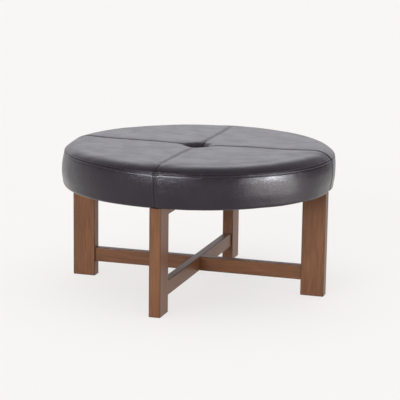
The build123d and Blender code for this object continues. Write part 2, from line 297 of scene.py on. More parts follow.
paper, tree, output, place = new_material("white_paper")
tone = mixed_colour(tree, noise_node(tree, place, scale=6.0, detail=3.0), paper_dark, paper_light)
matte = {"Base Color": tone, "Roughness": 0.9, "Specular IOR Level": 0.1}
matte = node(tree, "ShaderNodeBsdfPrincipled", matte)
ray = node(tree, "ShaderNodeLightPath").outputs
reflected = ray["Is Glossy Ray"]
ground = vector_node(tree, "NORMALIZE", place)
reach = vector_node(tree, "LENGTH", place)
away = ramp_node(tree, reach, lit_start, lit_full)
halo_turn, _, halo_width, _, _ = right_halo
flag_turn, _, flag_width, _, flag_depth = black_flag
# painted pool of light and painted shade, both seen only in reflections
painted_patch = box_glow(tree, ground, halo_turn, 0.0, halo_width, 1.0, painted_light_strength)
painted_patch = math_node(tree, "MULTIPLY_ADD", math_node(tree, "MULTIPLY", painted_patch, away), reflected, 1.0)
flagged = box_glow(tree, ground, flag_turn, 0.0, flag_width, 1.0, flag_depth)
flagged = math_node(tree, "MULTIPLY", flagged, ramp_node(tree, reach, flag_start, flag_full))
behind = vector_node(tree, "DOT_PRODUCT", ground, aimed(math.pi))
behind = math_node(tree, "MULTIPLY", ramp_node(tree, behind, far_start, far_full, 0.0, far_shade), away)
shade = math_node(tree, "MULTIPLY", math_node(tree, "MAXIMUM", flagged, behind), reflected)
painted_patch = math_node(tree, "MULTIPLY", painted_patch, math_node(tree, "SUBTRACT", 1.0, shade))
bright = node(tree, "ShaderNodeEmission", {"Color": (*paper_white, 1), "Strength": painted_patch})
seen_directly = math_node(tree, "MAXIMUM", ray["Is Camera Ray"], reflected)
seen_directly = math_node(tree, "MAXIMUM", seen_directly, ray["Is Transmission Ray"])
share = math_node(tree, "MULTIPLY", seen_directly, 1 - floor_share)
blend = node(tree, "ShaderNodeMixShader", {0: share, 1: matte.outputs[0], 2: bright.outputs[0]})
tree.links.new(blend.outputs[0], output.inputs[0])
floor_mesh.materials.append(paper)
print("floor", 2 * floor_reach, "m wide")

# %% [markdown]
# The frame is solid wood with a walnut stain under satin lacquer. Straight grain is noise stretched
# along the plank: slow bands for the growth rings, fine fibres over them and short dark pores. One
# group holds it, because legs, stretchers and rails share it, each turned to its own grain.

# %% Wood grain group
origin = (0.0, 0.0, 0.0)
ring_scale = 34.0               # how often the bands rise and fall as growth rings
ring_share = 0.22
pore_stretch = (1.0, 1.0, 0.09)
cloud_stretch = (1.0, 1.0, 0.35)
pore_scale = 620.0
pore_ramp = (0.10, 0.26, 1.0, 0.0)      # distances in a cell between which its pore fades, from 1 to 0

grain_inputs = {"Vector": origin, "Band scale": 26.0, "Fibre scale": 260.0, "Stretch": 0.05}
wood_grain, given = start_group("wood grain", grain_inputs)
flat = node(wood_grain, "ShaderNodeCombineXYZ", {0: 1.0, 1: 1.0, 2: given["Stretch"]}).outputs[0]
drawn = vector_node(wood_grain, "MULTIPLY", given["Vector"], flat)
band = noise_node(wood_grain, drawn, given["Band scale"], detail=3.0, Roughness=0.55, Distortion=0.9)
ring_wave = math_node(wood_grain, "SINE", math_node(wood_grain, "MULTIPLY", band, ring_scale))
pore = vector_node(wood_grain, "MULTIPLY", given["Vector"], pore_stretch)
pore = node(wood_grain, "ShaderNodeTexVoronoi", {"Vector": pore, "Scale": pore_scale, "Randomness": 1.0})
cloud = vector_node(wood_grain, "MULTIPLY", given["Vector"], cloud_stretch)
end_group(wood_grain, {
    "Band": math_node(wood_grain, "MULTIPLY_ADD", ring_wave, ring_share, band),
    "Fibre": noise_node(wood_grain, drawn, given["Fibre scale"], detail=4.0, Roughness=0.6),
    "Pore": ramp_node(wood_grain, pore.outputs[0], *pore_ramp),
    "Cloud": noise_node(wood_grain, cloud, scale=17.0, detail=3.0),
})

# %% [markdown]
# Stain gathers on the eased edges of a plank, where it dries darker. On a box an edge is where two of
# the three distances to the faces are small, so the second smallest distance tells how near a point is.

# %% Plank edge group
edge_inputs = {"Vector": origin, "Middle": origin, "Half size": (1.0, 1.0, 1.0), "Width": 0.002}
plank_edge, given = start_group("plank edge", edge_inputs)
apart = vector_node(plank_edge, "SUBTRACT", given["Vector"], given["Middle"])
depth = vector_node(plank_edge, "SUBTRACT", given["Half size"], vector_node(plank_edge, "ABSOLUTE", apart))
x, y, z = node(plank_edge, "ShaderNodeSeparateXYZ", {0: depth}).outputs
farther = math_node(plank_edge, "MINIMUM", math_node(plank_edge, "MAXIMUM", x, y), z)
second = math_node(plank_edge, "MAXIMUM", math_node(plank_edge, "MINIMUM", x, y), farther)
ragged = noise_node(plank_edge, given["Vector"], scale=160.0, detail=2.0)
limit = math_node(plank_edge, "MULTIPLY", given["Width"], math_node(plank_edge, "ADD", ragged, 0.5))
share = math_node(plank_edge, "DIVIDE", second, limit)
end_group(plank_edge, {"Edge": ramp_node(plank_edge, share, 0.0, 1.0, 1.0, 0.0)})

# %% [markdown]
# Every wooden piece gets its own material, because the edge group needs its size and the grain follows
# its length. Lacquer is the coat: it gives the stretchers their pale sheen when seen along their tops.

# %% Stain and lacquer
stain_dark = (0.100, 0.0365, 0.0118)
stain_middle = (0.173, 0.0655, 0.0214)
stain_light = (0.240, 0.101, 0.0365)
stain_edge = (0.040, 0.015, 0.007)
stain_edge_width = 4.2 * MM
band_ramp = (0.25, 0.75, 0.0, 0.55)     # values of the grain between which a tone comes in, and its shares
fibre_ramp = (0.36, 0.66, 0.0, 0.65)
wood_cloud_ramp = (0.40, 0.72, 0.0, 0.45)
wood_dull_ramp = (0.3, 0.7, 0.36, 0.50)
pore_share, edge_share = 0.35, 0.75
pore_sink = -0.6                # how deep a pore lies beside the height of the fibres
lacquer = {"IOR": 1.38, "Coat Weight": 0.12, "Coat Roughness": 0.24, "Coat IOR": 1.45}
upright = (0.0, 0.0, 0.0)
along_x = (0.0, math.radians(90), 0.0)
along_y = (math.radians(90), 0.0, 0.0)
print("stain", stain_middle, "between", stain_dark, "and", stain_light)

# %% Stained wood on legs, stretchers and rails


def turned_grain(tree, place, lie):
    """Outputs of the wood grain group, with the grain turned to lie."""
    turned = node(tree, "ShaderNodeMapping", {"Vector": place, "Rotation": lie}).outputs[0]
    return node(tree, "ShaderNodeGroup", {"Vector": turned}, node_tree=wood_grain).outputs


def stained_wood(piece, lie):
    """Walnut stain and satin lacquer on one plank, with its grain turned to lie."""
    material, tree, output, place = new_material("walnut_stain_" + piece)
    low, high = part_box(piece)
    band, fibre, pore, cloud = turned_grain(tree, place, lie)
    edge_inputs = {"Vector": place, "Middle": (low + high) / 2, "Half size": (high - low) / 2,
                   "Width": stain_edge_width}
    edge = node(tree, "ShaderNodeGroup", edge_inputs, node_tree=plank_edge).outputs[0]
    colour = mixed_colour(tree, ramp_node(tree, band, *band_ramp), stain_middle, stain_dark)
    colour = mixed_colour(tree, ramp_node(tree, fibre, *fibre_ramp), colour, stain_light)
    colour = mixed_colour(tree, ramp_node(tree, cloud, *wood_cloud_ramp), colour, stain_dark)
    colour = mixed_colour(tree, math_node(tree, "MULTIPLY", pore, pore_share), colour, stain_edge)
    colour = mixed_colour(tree, math_node(tree, "MULTIPLY", edge, edge_share), colour, stain_edge)
    relief = math_node(tree, "MULTIPLY_ADD", pore, pore_sink, fibre)
    normal = bump_node(tree, relief, distance=0.15 * MM, strength=0.18)
    surface(tree, output, colour, ramp_node(tree, fibre, *wood_dull_ramp), normal, lacquer)
    return material


def dress(piece, material):
    """Gives a construction solid its finish."""
    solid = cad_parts[piece]
    solid.data.materials.clear()
    solid.data.materials.append(material)


wooden_pieces = {"leg_" + side: upright for side in ("right", "back", "left", "front")}
for pair, lie in (("left_right", along_x), ("front_back", along_y)):
    wooden_pieces["lower_stretcher_" + pair] = lie
    wooden_pieces["upper_rail_" + pair] = lie
for piece, lie in wooden_pieces.items():
    dress(piece, stained_wood(piece, lie))
print("stained", len(wooden_pieces), "wooden pieces")

# %% [markdown]
# The cushion's leather is dark espresso with a soft shine. Its grain is a net of fine creases between
# flat pebbles, about a millimetre across, and wide clouds make it a little duller or lighter here and
# there. Cover and button share the grain, each at its own scale, so a group holds it.

# %% Leather grain group
crease_ramp = (0.0, 0.22, 1.0, 0.0)     # distances from a pebble's edge between which its crease fades
pebble_shift = (0.0012, 0.0012, 0.0012)  # how far the pebbles' outlines wander
fine_share = 0.3

hide_grain, given = start_group("leather grain", {"Vector": origin, "Pebble scale": 780.0})
hide_place = given["Vector"]
shift = node(hide_grain, "ShaderNodeTexNoise", {"Vector": hide_place, "Scale": 300.0, "Detail": 1.0})
shift = vector_node(hide_grain, "MULTIPLY", shift.outputs["Color"], pebble_shift)
pebble_inputs = {"Vector": vector_node(hide_grain, "ADD", hide_place, shift), "Scale": given["Pebble scale"]}
pebble = node(hide_grain, "ShaderNodeTexVoronoi", pebble_inputs, feature="DISTANCE_TO_EDGE")
crease = ramp_node(hide_grain, pebble.outputs[0], *crease_ramp)
fine = noise_node(hide_grain, hide_place, scale=2600.0, detail=2.0)
fine = math_node(hide_grain, "MULTIPLY", fine, fine_share)
end_group(hide_grain, {
    "Relief": math_node(hide_grain, "MULTIPLY_ADD", crease, -1.0, fine),
    "Crease": crease,
    "Cloud": noise_node(hide_grain, hide_place, scale=15.0, detail=4.0, Roughness=0.6),
    "Crinkle": noise_node(hide_grain, hide_place, scale=75.0, detail=5.0, Roughness=0.62, Distortion=0.8),
})

# %% [markdown]
# Two bumps shape the leather's skin: wide soft crinkles break up the reflections, and the grain lies on
# them. A clear coat gives the sharper shine that a finished hide has over its own soft one.

# %% Leather
hide_colour = (0.0115, 0.0060, 0.0125)
hide_cloudy = (0.0175, 0.0100, 0.0185)
# colour of the painted shade in the creases of the grain and of the seams
hide_crease_shade = (0.006, 0.003, 0.006)
hide_cloud_ramp = (0.35, 0.70)
hide_dull_ramp = (0.32, 0.72, 0.28, 0.38)
crease_shade_share = 0.35
seam_dulling = 0.25
hide_refraction = 1.36
hide_coat = {"IOR": hide_refraction, "Coat Weight": 0.5, "Coat Roughness": 0.18, "Coat IOR": hide_refraction}


def leather(name, pebble_scale):
    """Semi-gloss leather; the attribute seam is 1 in a seam's crease and 0 away from it, and paints shade
    there and dulls it.
    """
    material, tree, output, place = new_material(name)
    grain_inputs = {"Vector": place, "Pebble scale": pebble_scale}
    relief, crease, cloud, crinkle = node(tree, "ShaderNodeGroup", grain_inputs, node_tree=hide_grain).outputs
    seam = node(tree, "ShaderNodeAttribute", attribute_name="seam").outputs["Fac"]
    colour = mixed_colour(tree, ramp_node(tree, cloud, *hide_cloud_ramp), hide_colour, hide_cloudy)
    # painted shade in the grain's creases
    colour = mixed_colour(tree, math_node(tree, "MULTIPLY", crease, crease_shade_share), colour, hide_crease_shade)
    # painted shade in each seam's crease
    colour = mixed_colour(tree, seam, colour, hide_crease_shade)
    dull = math_node(tree, "MULTIPLY_ADD", seam, seam_dulling, ramp_node(tree, cloud, *hide_dull_ramp))
    wrinkles = bump_node(tree, crinkle, distance=0.8 * MM, strength=1.0)
    normal = bump_node(tree, relief, distance=0.12 * MM, strength=0.12, Normal=wrinkles)
    surface(tree, output, colour, dull, normal, hide_coat)
    return material


cover_leather = leather("espresso_leather", 780.0)
button_leather = leather("espresso_leather_button", 950.0)
print("leather ready")

# %% [markdown]
# The cushion's shape starts from the same half outline as the construction model: a low crown with a
# deep tuft in the middle, a round shoulder, a rim seam, and a band that bulges and draws in at the foot
# before it turns under the seat. Its corners are rounded by curves, and then eased a little more,
# because padded leather holds no sharp change of curve.

# %% Corners of the half outline
top_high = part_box("top_panel_back_right")[1]
band_low, band_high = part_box("band_panel_back_right")
band_radius = band_high.x
crown_height = top_high.z
cover_underside = band_low.z
rim_height = cover_underside + 108.5 * MM
rim_radius = band_radius - 5.0 * MM
foot_radius = band_radius - 8.0 * MM
tuck_radius = foot_radius - 62.0 * MM
tuft_floor = crown_height - 27.5 * MM
cover_thickness = 2.0 * MM
outline_step = 0.5 * MM
top_easing = 4.0 * MM
band_easing = 3.0 * MM
rim_blend = 7.0 * MM            # near the rim both panels dive into the seam the same way
corner_points = 24

# radius, height and rounding
top_corners = [
    (0.0, tuft_floor, 0.0),
    (15.0 * MM, tuft_floor, 0.0),
    (28.0 * MM, crown_height - 13.5 * MM, 30.0 * MM),
    (46.0 * MM, crown_height - 3.6 * MM, 60.0 * MM),
    (80.0 * MM, crown_height - 0.6 * MM, 300.0 * MM),
    (230.0 * MM, crown_height, 0.0),
    (rim_radius - 26.5 * MM, crown_height - 3.0 * MM, 90.0 * MM),
    (rim_radius, rim_height, 0.0),
]
band_corners = [
    (rim_radius, rim_height, 0.0),
    (band_radius, rim_height - 24.5 * MM, 190.0 * MM),
    (band_radius, cover_underside + 44.0 * MM, 170.0 * MM),
    (foot_radius, cover_underside, 9.0 * MM),
    (tuck_radius, cover_underside, 0.0),
]
print("cushion", round(2 * band_radius, 3), "m across, its crown at", round(crown_height, 3), "m")

# %% Helpers for curves


def bell(distance, width):
    """Bell curve: 1 at no distance, a third of it at width and soon nothing beyond."""
    return np.exp(-((distance / width) ** 2))


def travelled(run):
    """Distance along a run of points to each of them."""
    return np.concatenate([[0], np.cumsum(np.linalg.norm(np.diff(run, axis=0), axis=1))])


def rounded_run(corners):
    """Evenly spaced points through corners (radius, height, rounding), each rounded by a curve."""
    places = [Vector(corner[:2]) for corner in corners]
    run = [places[0]]
    for before, corner, after, (_, _, rounding) in zip(places, places[1:], places[2:], corners[1:]):
        into, out = (corner - before).normalized(), (after - corner).normalized()
        reach = rounding * math.tan(abs(into.angle_signed(out)) / 2)
        start, end = corner - into * reach, corner + out * reach
        for share in np.linspace(0, 1, corner_points if rounding else 1):
            run.append((1 - share) ** 2 * start + 2 * share * (1 - share) * corner + share**2 * end)
    run.append(places[-1])
    run = np.array([tuple(point) for point in run])
    travel = travelled(run)
    steps = np.linspace(0, travel[-1], int(travel[-1] / outline_step) + 1)
    return np.stack([np.interp(steps, travel, values) for values in run.T], axis=1)


def eased(run, width):
    """Run smoothed by a bell curve over three widths, its two ends kept in place."""
    reach = int(3 * width / outline_step)
    weights = np.exp(-0.5 * (np.arange(-reach, reach + 1) * outline_step / width) ** 2)
    weights /= weights.sum()
    before = 2 * run[0] - run[reach:0:-1]
    after = 2 * run[-1] - run[-2:-reach - 2:-1]
    longer = np.concatenate([before, run, after])
    return np.stack([np.convolve(values, weights, mode="valid") for values in longer.T], axis=1)


def outward(run):
    """Outward unit normals along a run of (radius, height)."""
    slope = np.gradient(run, axis=0)
    normal = np.stack([-slope[:, 1], slope[:, 0]], axis=1)
    return normal / np.linalg.norm(normal, axis=1, keepdims=True)


print("helpers for curves ready")

# %% Half outline of the cushion
top_run = eased(rounded_run(top_corners), top_easing)
band_run = eased(rounded_run(band_corners), band_easing)
outline = np.concatenate([top_run, band_run[1:]])
outline_travel = travelled(outline)
rim_travel = outline_travel[len(top_run) - 1]
end_travel = outline_travel[-1]
top_normal, band_normal = outward(top_run), outward(band_run)
outline_normal = np.concatenate([top_normal, band_normal[1:]])
rim_share = bell(outline_travel - rim_travel, rim_blend)[:, None]
outline_normal = (1 - rim_share) * outline_normal + rim_share * (top_normal[-1] + band_normal[0]) / 2
outline_normal /= np.linalg.norm(outline_normal, axis=1, keepdims=True)


def plain_cover(travel):
    """Radius, height and the two parts of the outward normal, by distance along the outline."""
    return [np.interp(travel, outline_travel, values) for values in (*outline.T, *outline_normal.T)]


print("outline", len(outline), "points, rim seam at", round(rim_travel, 4), "of", round(end_travel, 4), "m")

# %% [markdown]
# Leather over foam is pushed out from inside and held back where it is sewn. Blender's Cloth does that:
# a coarse form of the cover, cut slightly too small so that it pulls smooth, is pinned along its seams,
# at the tuft and under the board, and blown up for twenty frames. What is kept is how far each point
# moved outwards, with a limit, and the finer sewn surface is laid on that afterwards, because seams are
# narrower than the form's grid.

# %% Sizes of the leather form
quarter = math.pi / 2
form_frames = 20
form_pressure = 0.5
form_tightness = 0.002          # how much too small the leather is cut
form_limit = 1.8 * MM
form_columns, form_row_count = 192, 84
form_start, form_margin = 12.0 * MM, 6.0 * MM
form_rows = np.linspace(form_start, end_travel - form_margin, form_row_count)
pinned_tuft = 24.0 * MM
pinned_foot = rim_travel + 112.0 * MM
pinned_seam = 4.0 * MM
form_ease = 38.0 * MM           # how far from its pins the form starts at its full limit below the cover
print("leather form of", form_row_count, "x", form_columns, "points, run for", form_frames, "frames")

# %% Helpers for grids


def grid_faces(rows, columns, joined=(0, 0)):
    """Faces of a grid of points, with 1 in joined where its last row or its last column joins the first."""
    index = np.pad(np.arange(rows * columns).reshape(rows, columns), [(0, ends) for ends in joined], "wrap")
    corners = [index[:-1, :-1], index[1:, :-1], index[1:, 1:], index[:-1, 1:]]
    return np.stack(corners, axis=-1).reshape(-1, 4)


def round_points(radius, bearing, level):
    """Points by radius, bearing and level, each a number or an array."""
    return np.stack([radius * np.cos(bearing), radius * np.sin(bearing), level + 0 * bearing], axis=-1)


def beside_seam(radius, bearing):
    """Distance of points from the nearest of the four quarter seams."""
    return radius * np.sin(np.abs((bearing + quarter / 2) % quarter - quarter / 2))


print("helpers for grids ready")

# %% Simulated leather form


def blown_up():
    """How far each point of the form ends up outside the plain cover, from a short cloth simulation."""
    bearings = np.arange(form_columns) * 4 * quarter / form_columns
    travel, bearing = np.meshgrid(form_rows, bearings, indexing="ij")
    radius, level, out, up = plain_cover(travel)
    normal = round_points(out, bearing, up)
    beside = np.minimum(beside_seam(radius, bearing), np.abs(travel - rim_travel)) - pinned_seam
    free = np.minimum(np.minimum(beside, radius - pinned_tuft), pinned_foot - travel)
    free = np.clip(free, 0, None)
    inset = form_limit * (1 - bell(free, form_ease))
    start = round_points(radius, bearing, level) - inset[..., None] * normal
    mesh = bpy.data.meshes.new("leather_form")
    mesh.from_pydata(start.reshape(-1, 3).tolist(), [], grid_faces(*travel.shape, (0, 1)).tolist())
    form = bpy.data.objects.new("leather_form", mesh)
    bpy.context.scene.collection.objects.link(form)
    form.vertex_groups.new(name="sewn").add(np.flatnonzero(free == 0).tolist(), 1.0, "REPLACE")
    cloth = form.modifiers.new("leather", "CLOTH")
    cloth.settings.vertex_group_mass = "sewn"
    cloth.settings.use_pressure = True
    cloth.settings.uniform_pressure_force = form_pressure
    cloth.settings.shrink_min = form_tightness
    cloth.settings.tension_stiffness = 40.0
    cloth.settings.compression_stiffness = 40.0
    cloth.settings.bending_stiffness = 6.0
    cloth.settings.effector_weights.gravity = 0.0
    cloth.point_cache.frame_end = form_frames
    for frame_number in range(1, form_frames + 1):
        bpy.context.scene.frame_set(frame_number)
    result = form.evaluated_get(bpy.context.evaluated_depsgraph_get()).to_mesh()
    moved = np.empty(3 * len(result.vertices))
    result.vertices.foreach_get("co", moved)
    bpy.context.scene.frame_set(1)
    bpy.data.objects.remove(form)
    outwards = ((moved.reshape(start.shape) - start) * normal).sum(axis=-1)
    print("leather moved out by", (np.percentile(outwards, [1, 25, 50, 75, 99]) / MM).round(2), "mm")
    return form_limit * np.tanh(outwards / form_limit) - inset


form_puff = blown_up()
print("the limit leaves", (np.percentile(form_puff, [1, 50, 99]) / MM).round(2), "mm beyond the plain form")

# %% [markdown]
# Sewing shapes the surface more than the foam does. At each seam the edges roll down into a crease, a
# line of stitches presses a dent beside it, and the leather between seam and stitches stands up as a
# narrow lip that catches the light. Round the tuft the four seams are pulled down into a star. The rest
# is the unevenness of a hand-upholstered piece: small puckers along seams and slow waves elsewhere.

# %% Sizes of seams, tuft and puckers
seam_depth = 2.6 * MM
seam_roll = 1.9 * MM            # how far from a quarter seam the leather starts to roll down
rim_depth = 3.4 * MM
rim_roll_above = 5.2 * MM       # the same at the rim, in the top panels
rim_roll_below = 3.2 * MM       # and in the band
seam_shade_width = 1.0 * MM            # how wide the painted shade in a seam's crease is
stitch_offset = 6.0 * MM
stitch_dent = 0.9 * MM
stitch_dent_width = 1.6 * MM
valley_depth = 1.4 * MM
valley_width = 17.0 * MM
valley_fade = 45.0 * MM
star_depth = np.array([1.5, 4.5, 7.5, 3.5]) * MM    # on the right, back, left and front seam
star_reach = 46.0 * MM
star_width = 17.0 * MM
pucker_depth = 0.45 * MM
pucker_length = 15.0 * MM
pucker_reach = 13.0 * MM
pucker_squash = np.array([1.0, 1.0, 0.6])
pleat_depth = 1.1 * MM
pleat_turn = 0.33               # turn about the tuft from one pleat to the next
pleat_slant = 8                 # how fast pleats change outwards
pleat_radius = 34 * MM
pleat_reach = 20 * MM
wave_depth = 0.9 * MM
wave_length = 95.0 * MM
ripple_depth = 0.28 * MM
ripple_length = 34.0 * MM
foot_fade = 60 * MM             # over which the tucked end loses its unevenness
seed_steps = (13.7, -7.3, 3.1)  # so far apart in the noise lie the places that seeds start from
print("seams", seam_depth / MM, "mm deep, rim", rim_depth / MM, "mm, star up to", star_depth.max() / MM, "mm")

# %% Helpers for the sewn cover


def noise_field(points, length, seed):
    """Smooth noise from -1 to 1 at points, with bumps about length across."""
    offset = Vector([seed * step for step in seed_steps])
    values = [noise.noise(Vector(point) / length + offset) for point in points.reshape(-1, 3)]
    return np.array(values).reshape(points.shape[:-1])


def risen(value, full):
    """Rises from 0 where value is 0 to 1 where it is full, and stays there."""
    return np.clip(value / full, 0, 1)


def towards(bearing, aim, power):
    """1 where bearing is aim, falling to 0 a quarter turn away; a higher power falls faster."""
    return np.clip(np.cos(bearing - aim), 0, 1) ** power


def seam_dip(distance, depth, roll):
    """How far the leather lies under its free surface beside a seam, by distance from it."""
    rolled = np.clip(1 - distance / roll, 0, 1)
    dent = stitch_dent * bell(distance - stitch_offset, stitch_dent_width)
    return depth * (1 - np.sqrt(1 - rolled**2)) + dent


def puffed(travel, bearing):
    """How far the simulated leather stands out, read between the points of its grid."""
    row = np.interp(travel, form_rows, np.arange(len(form_rows)))
    column = bearing % (4 * quarter) / (4 * quarter) * form_columns
    low_row = np.clip(row.astype(int), 0, len(form_rows) - 2)
    low_column = column.astype(int) % form_columns
    next_column = (low_column + 1) % form_columns
    down, side = row - low_row, column - np.floor(column)
    upper, lower = (form_puff[near_row, low_column] * (1 - side) + form_puff[near_row, next_column] * side
                    for near_row in (low_row, low_row + 1))
    return upper * (1 - down) + lower * down


dips = seam_dip(np.array([0, seam_roll, stitch_offset]), seam_depth, seam_roll) / MM
print("leather lies", dips.round(2), "mm lower in a seam, beside it and under its stitches")

# %% Surface of the sewn cover


def sewn_dip(travel, bearing, radius, base):
    """How far the sewn leather lies under the plain cover's points."""
    aside = beside_seam(radius, bearing)
    below_rim = travel - rim_travel
    beside_rim = np.abs(below_rim)
    rim_roll = np.where(below_rim < 0, rim_roll_above, rim_roll_below)
    dip = seam_dip(aside, seam_depth, seam_roll) + seam_dip(beside_rim, rim_depth, rim_roll)
    dip -= puffed(travel, bearing)
    dip += valley_depth * bell(aside, valley_width) * (1 - bell(beside_rim, valley_fade))
    pulls = np.stack([towards(bearing, i * quarter, 4) for i in range(4)])
    pull_here = np.tensordot(star_depth, pulls, axes=1) / pulls.sum(axis=0)
    dip += pull_here * bell(radius, star_reach) * bell(aside, star_width)
    rim_puckers = noise_field(round_points(rim_radius, bearing, 0), pucker_length, 1)
    dip += pucker_depth * rim_puckers * bell(beside_rim, pucker_reach)
    dip += pucker_depth * noise_field(base * pucker_squash, pucker_length, 2) * bell(aside, pucker_reach)
    pleats = noise_field(round_points(1, bearing, radius * pleat_slant), pleat_turn, 3)
    dip += pleat_depth * pleats * bell(radius - pleat_radius, pleat_reach)
    dip += wave_depth * noise_field(base, wave_length, 4) + ripple_depth * noise_field(base, ripple_length, 5)
    return dip * risen(end_travel - travel, foot_fade)


print("sewing ready, seams at", [round(math.degrees(quarter * i)) for i in range(4)], "degrees")

# %% [markdown]
# This cushion has also taken a shape of its own. It is fuller than its outline at the back and worn
# lower at the front, where it is sat on, and its left end is rounder, with the rim seam sewn higher and
# drawn in. Sculpting could do that too, but a formula moves every piece under the leather with it.

# %% Shape of this one cushion
rim_wander = 1.1 * MM           # how much the rim seam runs up and down
rim_wander_length = 120 * MM
rim_lift = 6.5 * MM             # how much higher the rim seam was sewn at the front left
rim_lift_bearing = math.radians(236)
rim_lift_reach = 26 * MM
left_inset = 7.5 * MM           # how far in the rim seam lies at the left end
left_bearing = math.radians(203)
left_reach = 38 * MM
crown_lift = 6.5 * MM           # how much fuller the cushion is than its plain outline
crown_lift_radius = 0.2         # from which it swells, over as much again
crown_lift_margin = 20 * MM     # how near the rim it ends
worn_share = 0.75               # how much less so at the front
worn_bearing = math.radians(295)
round_drop = 2.0 * MM           # how much rounder the shoulder is at the front left
round_bearing = math.radians(215)
round_start, round_growth = 100 * MM, 75 * MM   # how far from the rim it starts, and over how much it grows
round_margin = 14 * MM


def own_shape(below_rim, bearing, radius):
    """How far this cushion's cover is raised and drawn in, beside its plain outline."""
    raised = rim_wander * noise_field(round_points(rim_radius, bearing, 0), rim_wander_length, 6)
    raised += rim_lift * towards(bearing, rim_lift_bearing, 2)
    raised *= bell(below_rim, rim_lift_reach)
    fuller = 1 - worn_share * towards(bearing, worn_bearing, 2)
    fuller = fuller * risen(radius - crown_lift_radius, crown_lift_radius) ** 2
    fuller = crown_lift * fuller * (1 - bell(below_rim, crown_lift_margin))
    rounder = risen(below_rim + round_start, round_growth) ** 2 * (1 - bell(below_rim, round_margin))
    rounder = round_drop * rounder * towards(bearing, round_bearing, 8)
    raised += np.where(below_rim < 0, fuller - rounder, 0)
    return raised, left_inset * towards(bearing, left_bearing, 6) * bell(below_rim, left_reach)


def cover_points(travel, bearing, inset=0.0):
    """Points of the sewn cover by distance along the outline and bearing, and the share of painted shade that
    a near seam's crease gives them.
    """
    radius, level, normal_out, normal_up = plain_cover(travel)
    below_rim = travel - rim_travel
    dip = sewn_dip(travel, bearing, radius, round_points(radius, bearing, level)) + inset
    raised, drawn_in = own_shape(below_rim, bearing, radius)
    points = round_points(radius - dip * normal_out - drawn_in, bearing, level - dip * normal_up + raised)
    return points, bell(np.minimum(beside_seam(radius, bearing), np.abs(below_rim)), seam_shade_width)


print("crown up to", crown_lift / MM, "mm fuller, left rim drawn in by", left_inset / MM, "mm")

# %% [markdown]
# A panel is a grid on that surface, with its lines crowded where the seams need them: half a
# millimetre apart beside a seam and a few millimetres in the open. A second grid one leather thickness
# below and four walls close it, so each panel is a piece of real leather that can be taken off.

# %% Grid lines of a panel
panel_gap = 0.05 * MM
fine_spacing = 0.55 * MM
open_spacing = 6.5 * MM
seam_zone = 17.0 * MM
rim_zone = 15.0 * MM
top_spacing, band_spacing = 6.0 * MM, 4.5 * MM
hole_radius = 3.0 * MM
tuft_spot = (30.0 * MM, 1.6 * MM, 34.0 * MM)        # place, spacing and reach of the crowding
foot_spot = (rim_travel + 106.0 * MM, 1.2 * MM, 16.0 * MM)
rim_spot = (rim_travel, fine_spacing, rim_zone)
grading_steps = 6000


def crowded(distance, least, coarse, reach):
    """Spacing of grid lines by distance from the spot that crowds them."""
    return least + (coarse - least) * (1 - bell(distance, reach))


def line_count(places, spacing):
    """How many grid lines there are up to each place."""
    return np.concatenate([[0], np.cumsum(np.diff(places) / spacing[:-1])])


def graded(start, end, coarse, spots):
    """Places from start to end, coarse apart but nearer to each other round each (spot, spacing, reach)."""
    places = np.linspace(start, end, grading_steps)
    spacing = np.full_like(places, coarse)
    for spot, least, reach in spots:
        spacing = np.minimum(spacing, crowded(places - spot, least, coarse, reach))
    count = line_count(places, spacing)
    return np.interp(np.linspace(0, count[-1], int(count[-1]) + 1), count, places)


def panel_bearings(travel, first_bearing):
    """Bearings of a panel's columns at each row, crowded near its two quarter seams."""
    distances = np.linspace(0, band_radius * quarter / 2, grading_steps)
    count = line_count(distances, crowded(distances, fine_spacing, open_spacing, seam_zone))
    columns = int(count[-1])
    rows = []
    for radius in plain_cover(travel)[0]:
        ends = np.interp([panel_gap, radius * quarter / 2], distances, count)
        half = np.interp(np.linspace(*ends, columns + 1), count, distances) / radius
        rows.append(np.concatenate([half, quarter - half[-2::-1]]) + first_bearing)
    return np.array(rows)


top_rows = graded(hole_radius, rim_travel - panel_gap, top_spacing, [rim_spot, tuft_spot])
band_rows = graded(rim_travel + panel_gap, end_travel, band_spacing, [rim_spot, foot_spot])
print("rows of a top panel", len(top_rows), "and of a band panel", len(band_rows))

# %% Helpers for closed meshes


def mesh_piece(name, points, faces, material, sharp_angle=60):
    """Smooth mesh object of one material, its faces pointing outwards."""
    corners = points[np.array([face[:3] for face in faces])]
    volume = np.einsum("ij,ij->i", corners[:, 0], np.cross(corners[:, 1], corners[:, 2])).sum()
    if volume < 0:
        faces = [face[::-1] for face in faces]
    mesh = bpy.data.meshes.new(name)
    mesh.from_pydata(points.tolist(), [], [list(face) for face in faces])
    mesh.polygons.foreach_set("use_smooth", [True] * len(mesh.polygons))
    mesh.set_sharp_from_angle(angle=math.radians(sharp_angle))
    mesh.materials.append(material)
    piece = bpy.data.objects.new(name, mesh)
    bpy.context.scene.collection.objects.link(piece)
    return piece


def shell_faces(rows, columns):
    """Faces of a closed shell: an outer grid, an inner one below it and the walls between their edges."""
    index = np.arange(rows * columns).reshape(rows, columns)
    outer = grid_faces(rows, columns)
    inner = outer[:, ::-1] + rows * columns
    edge = np.concatenate([index[:-1, 0], index[-1, :-1], index[:0:-1, -1], index[0, :0:-1]])
    after = np.roll(edge, -1)
    walls = np.stack([after, edge, edge + rows * columns, after + rows * columns], axis=-1)
    return np.concatenate([outer, inner, walls])


print("helpers for closed meshes ready")

# %% Leather panels


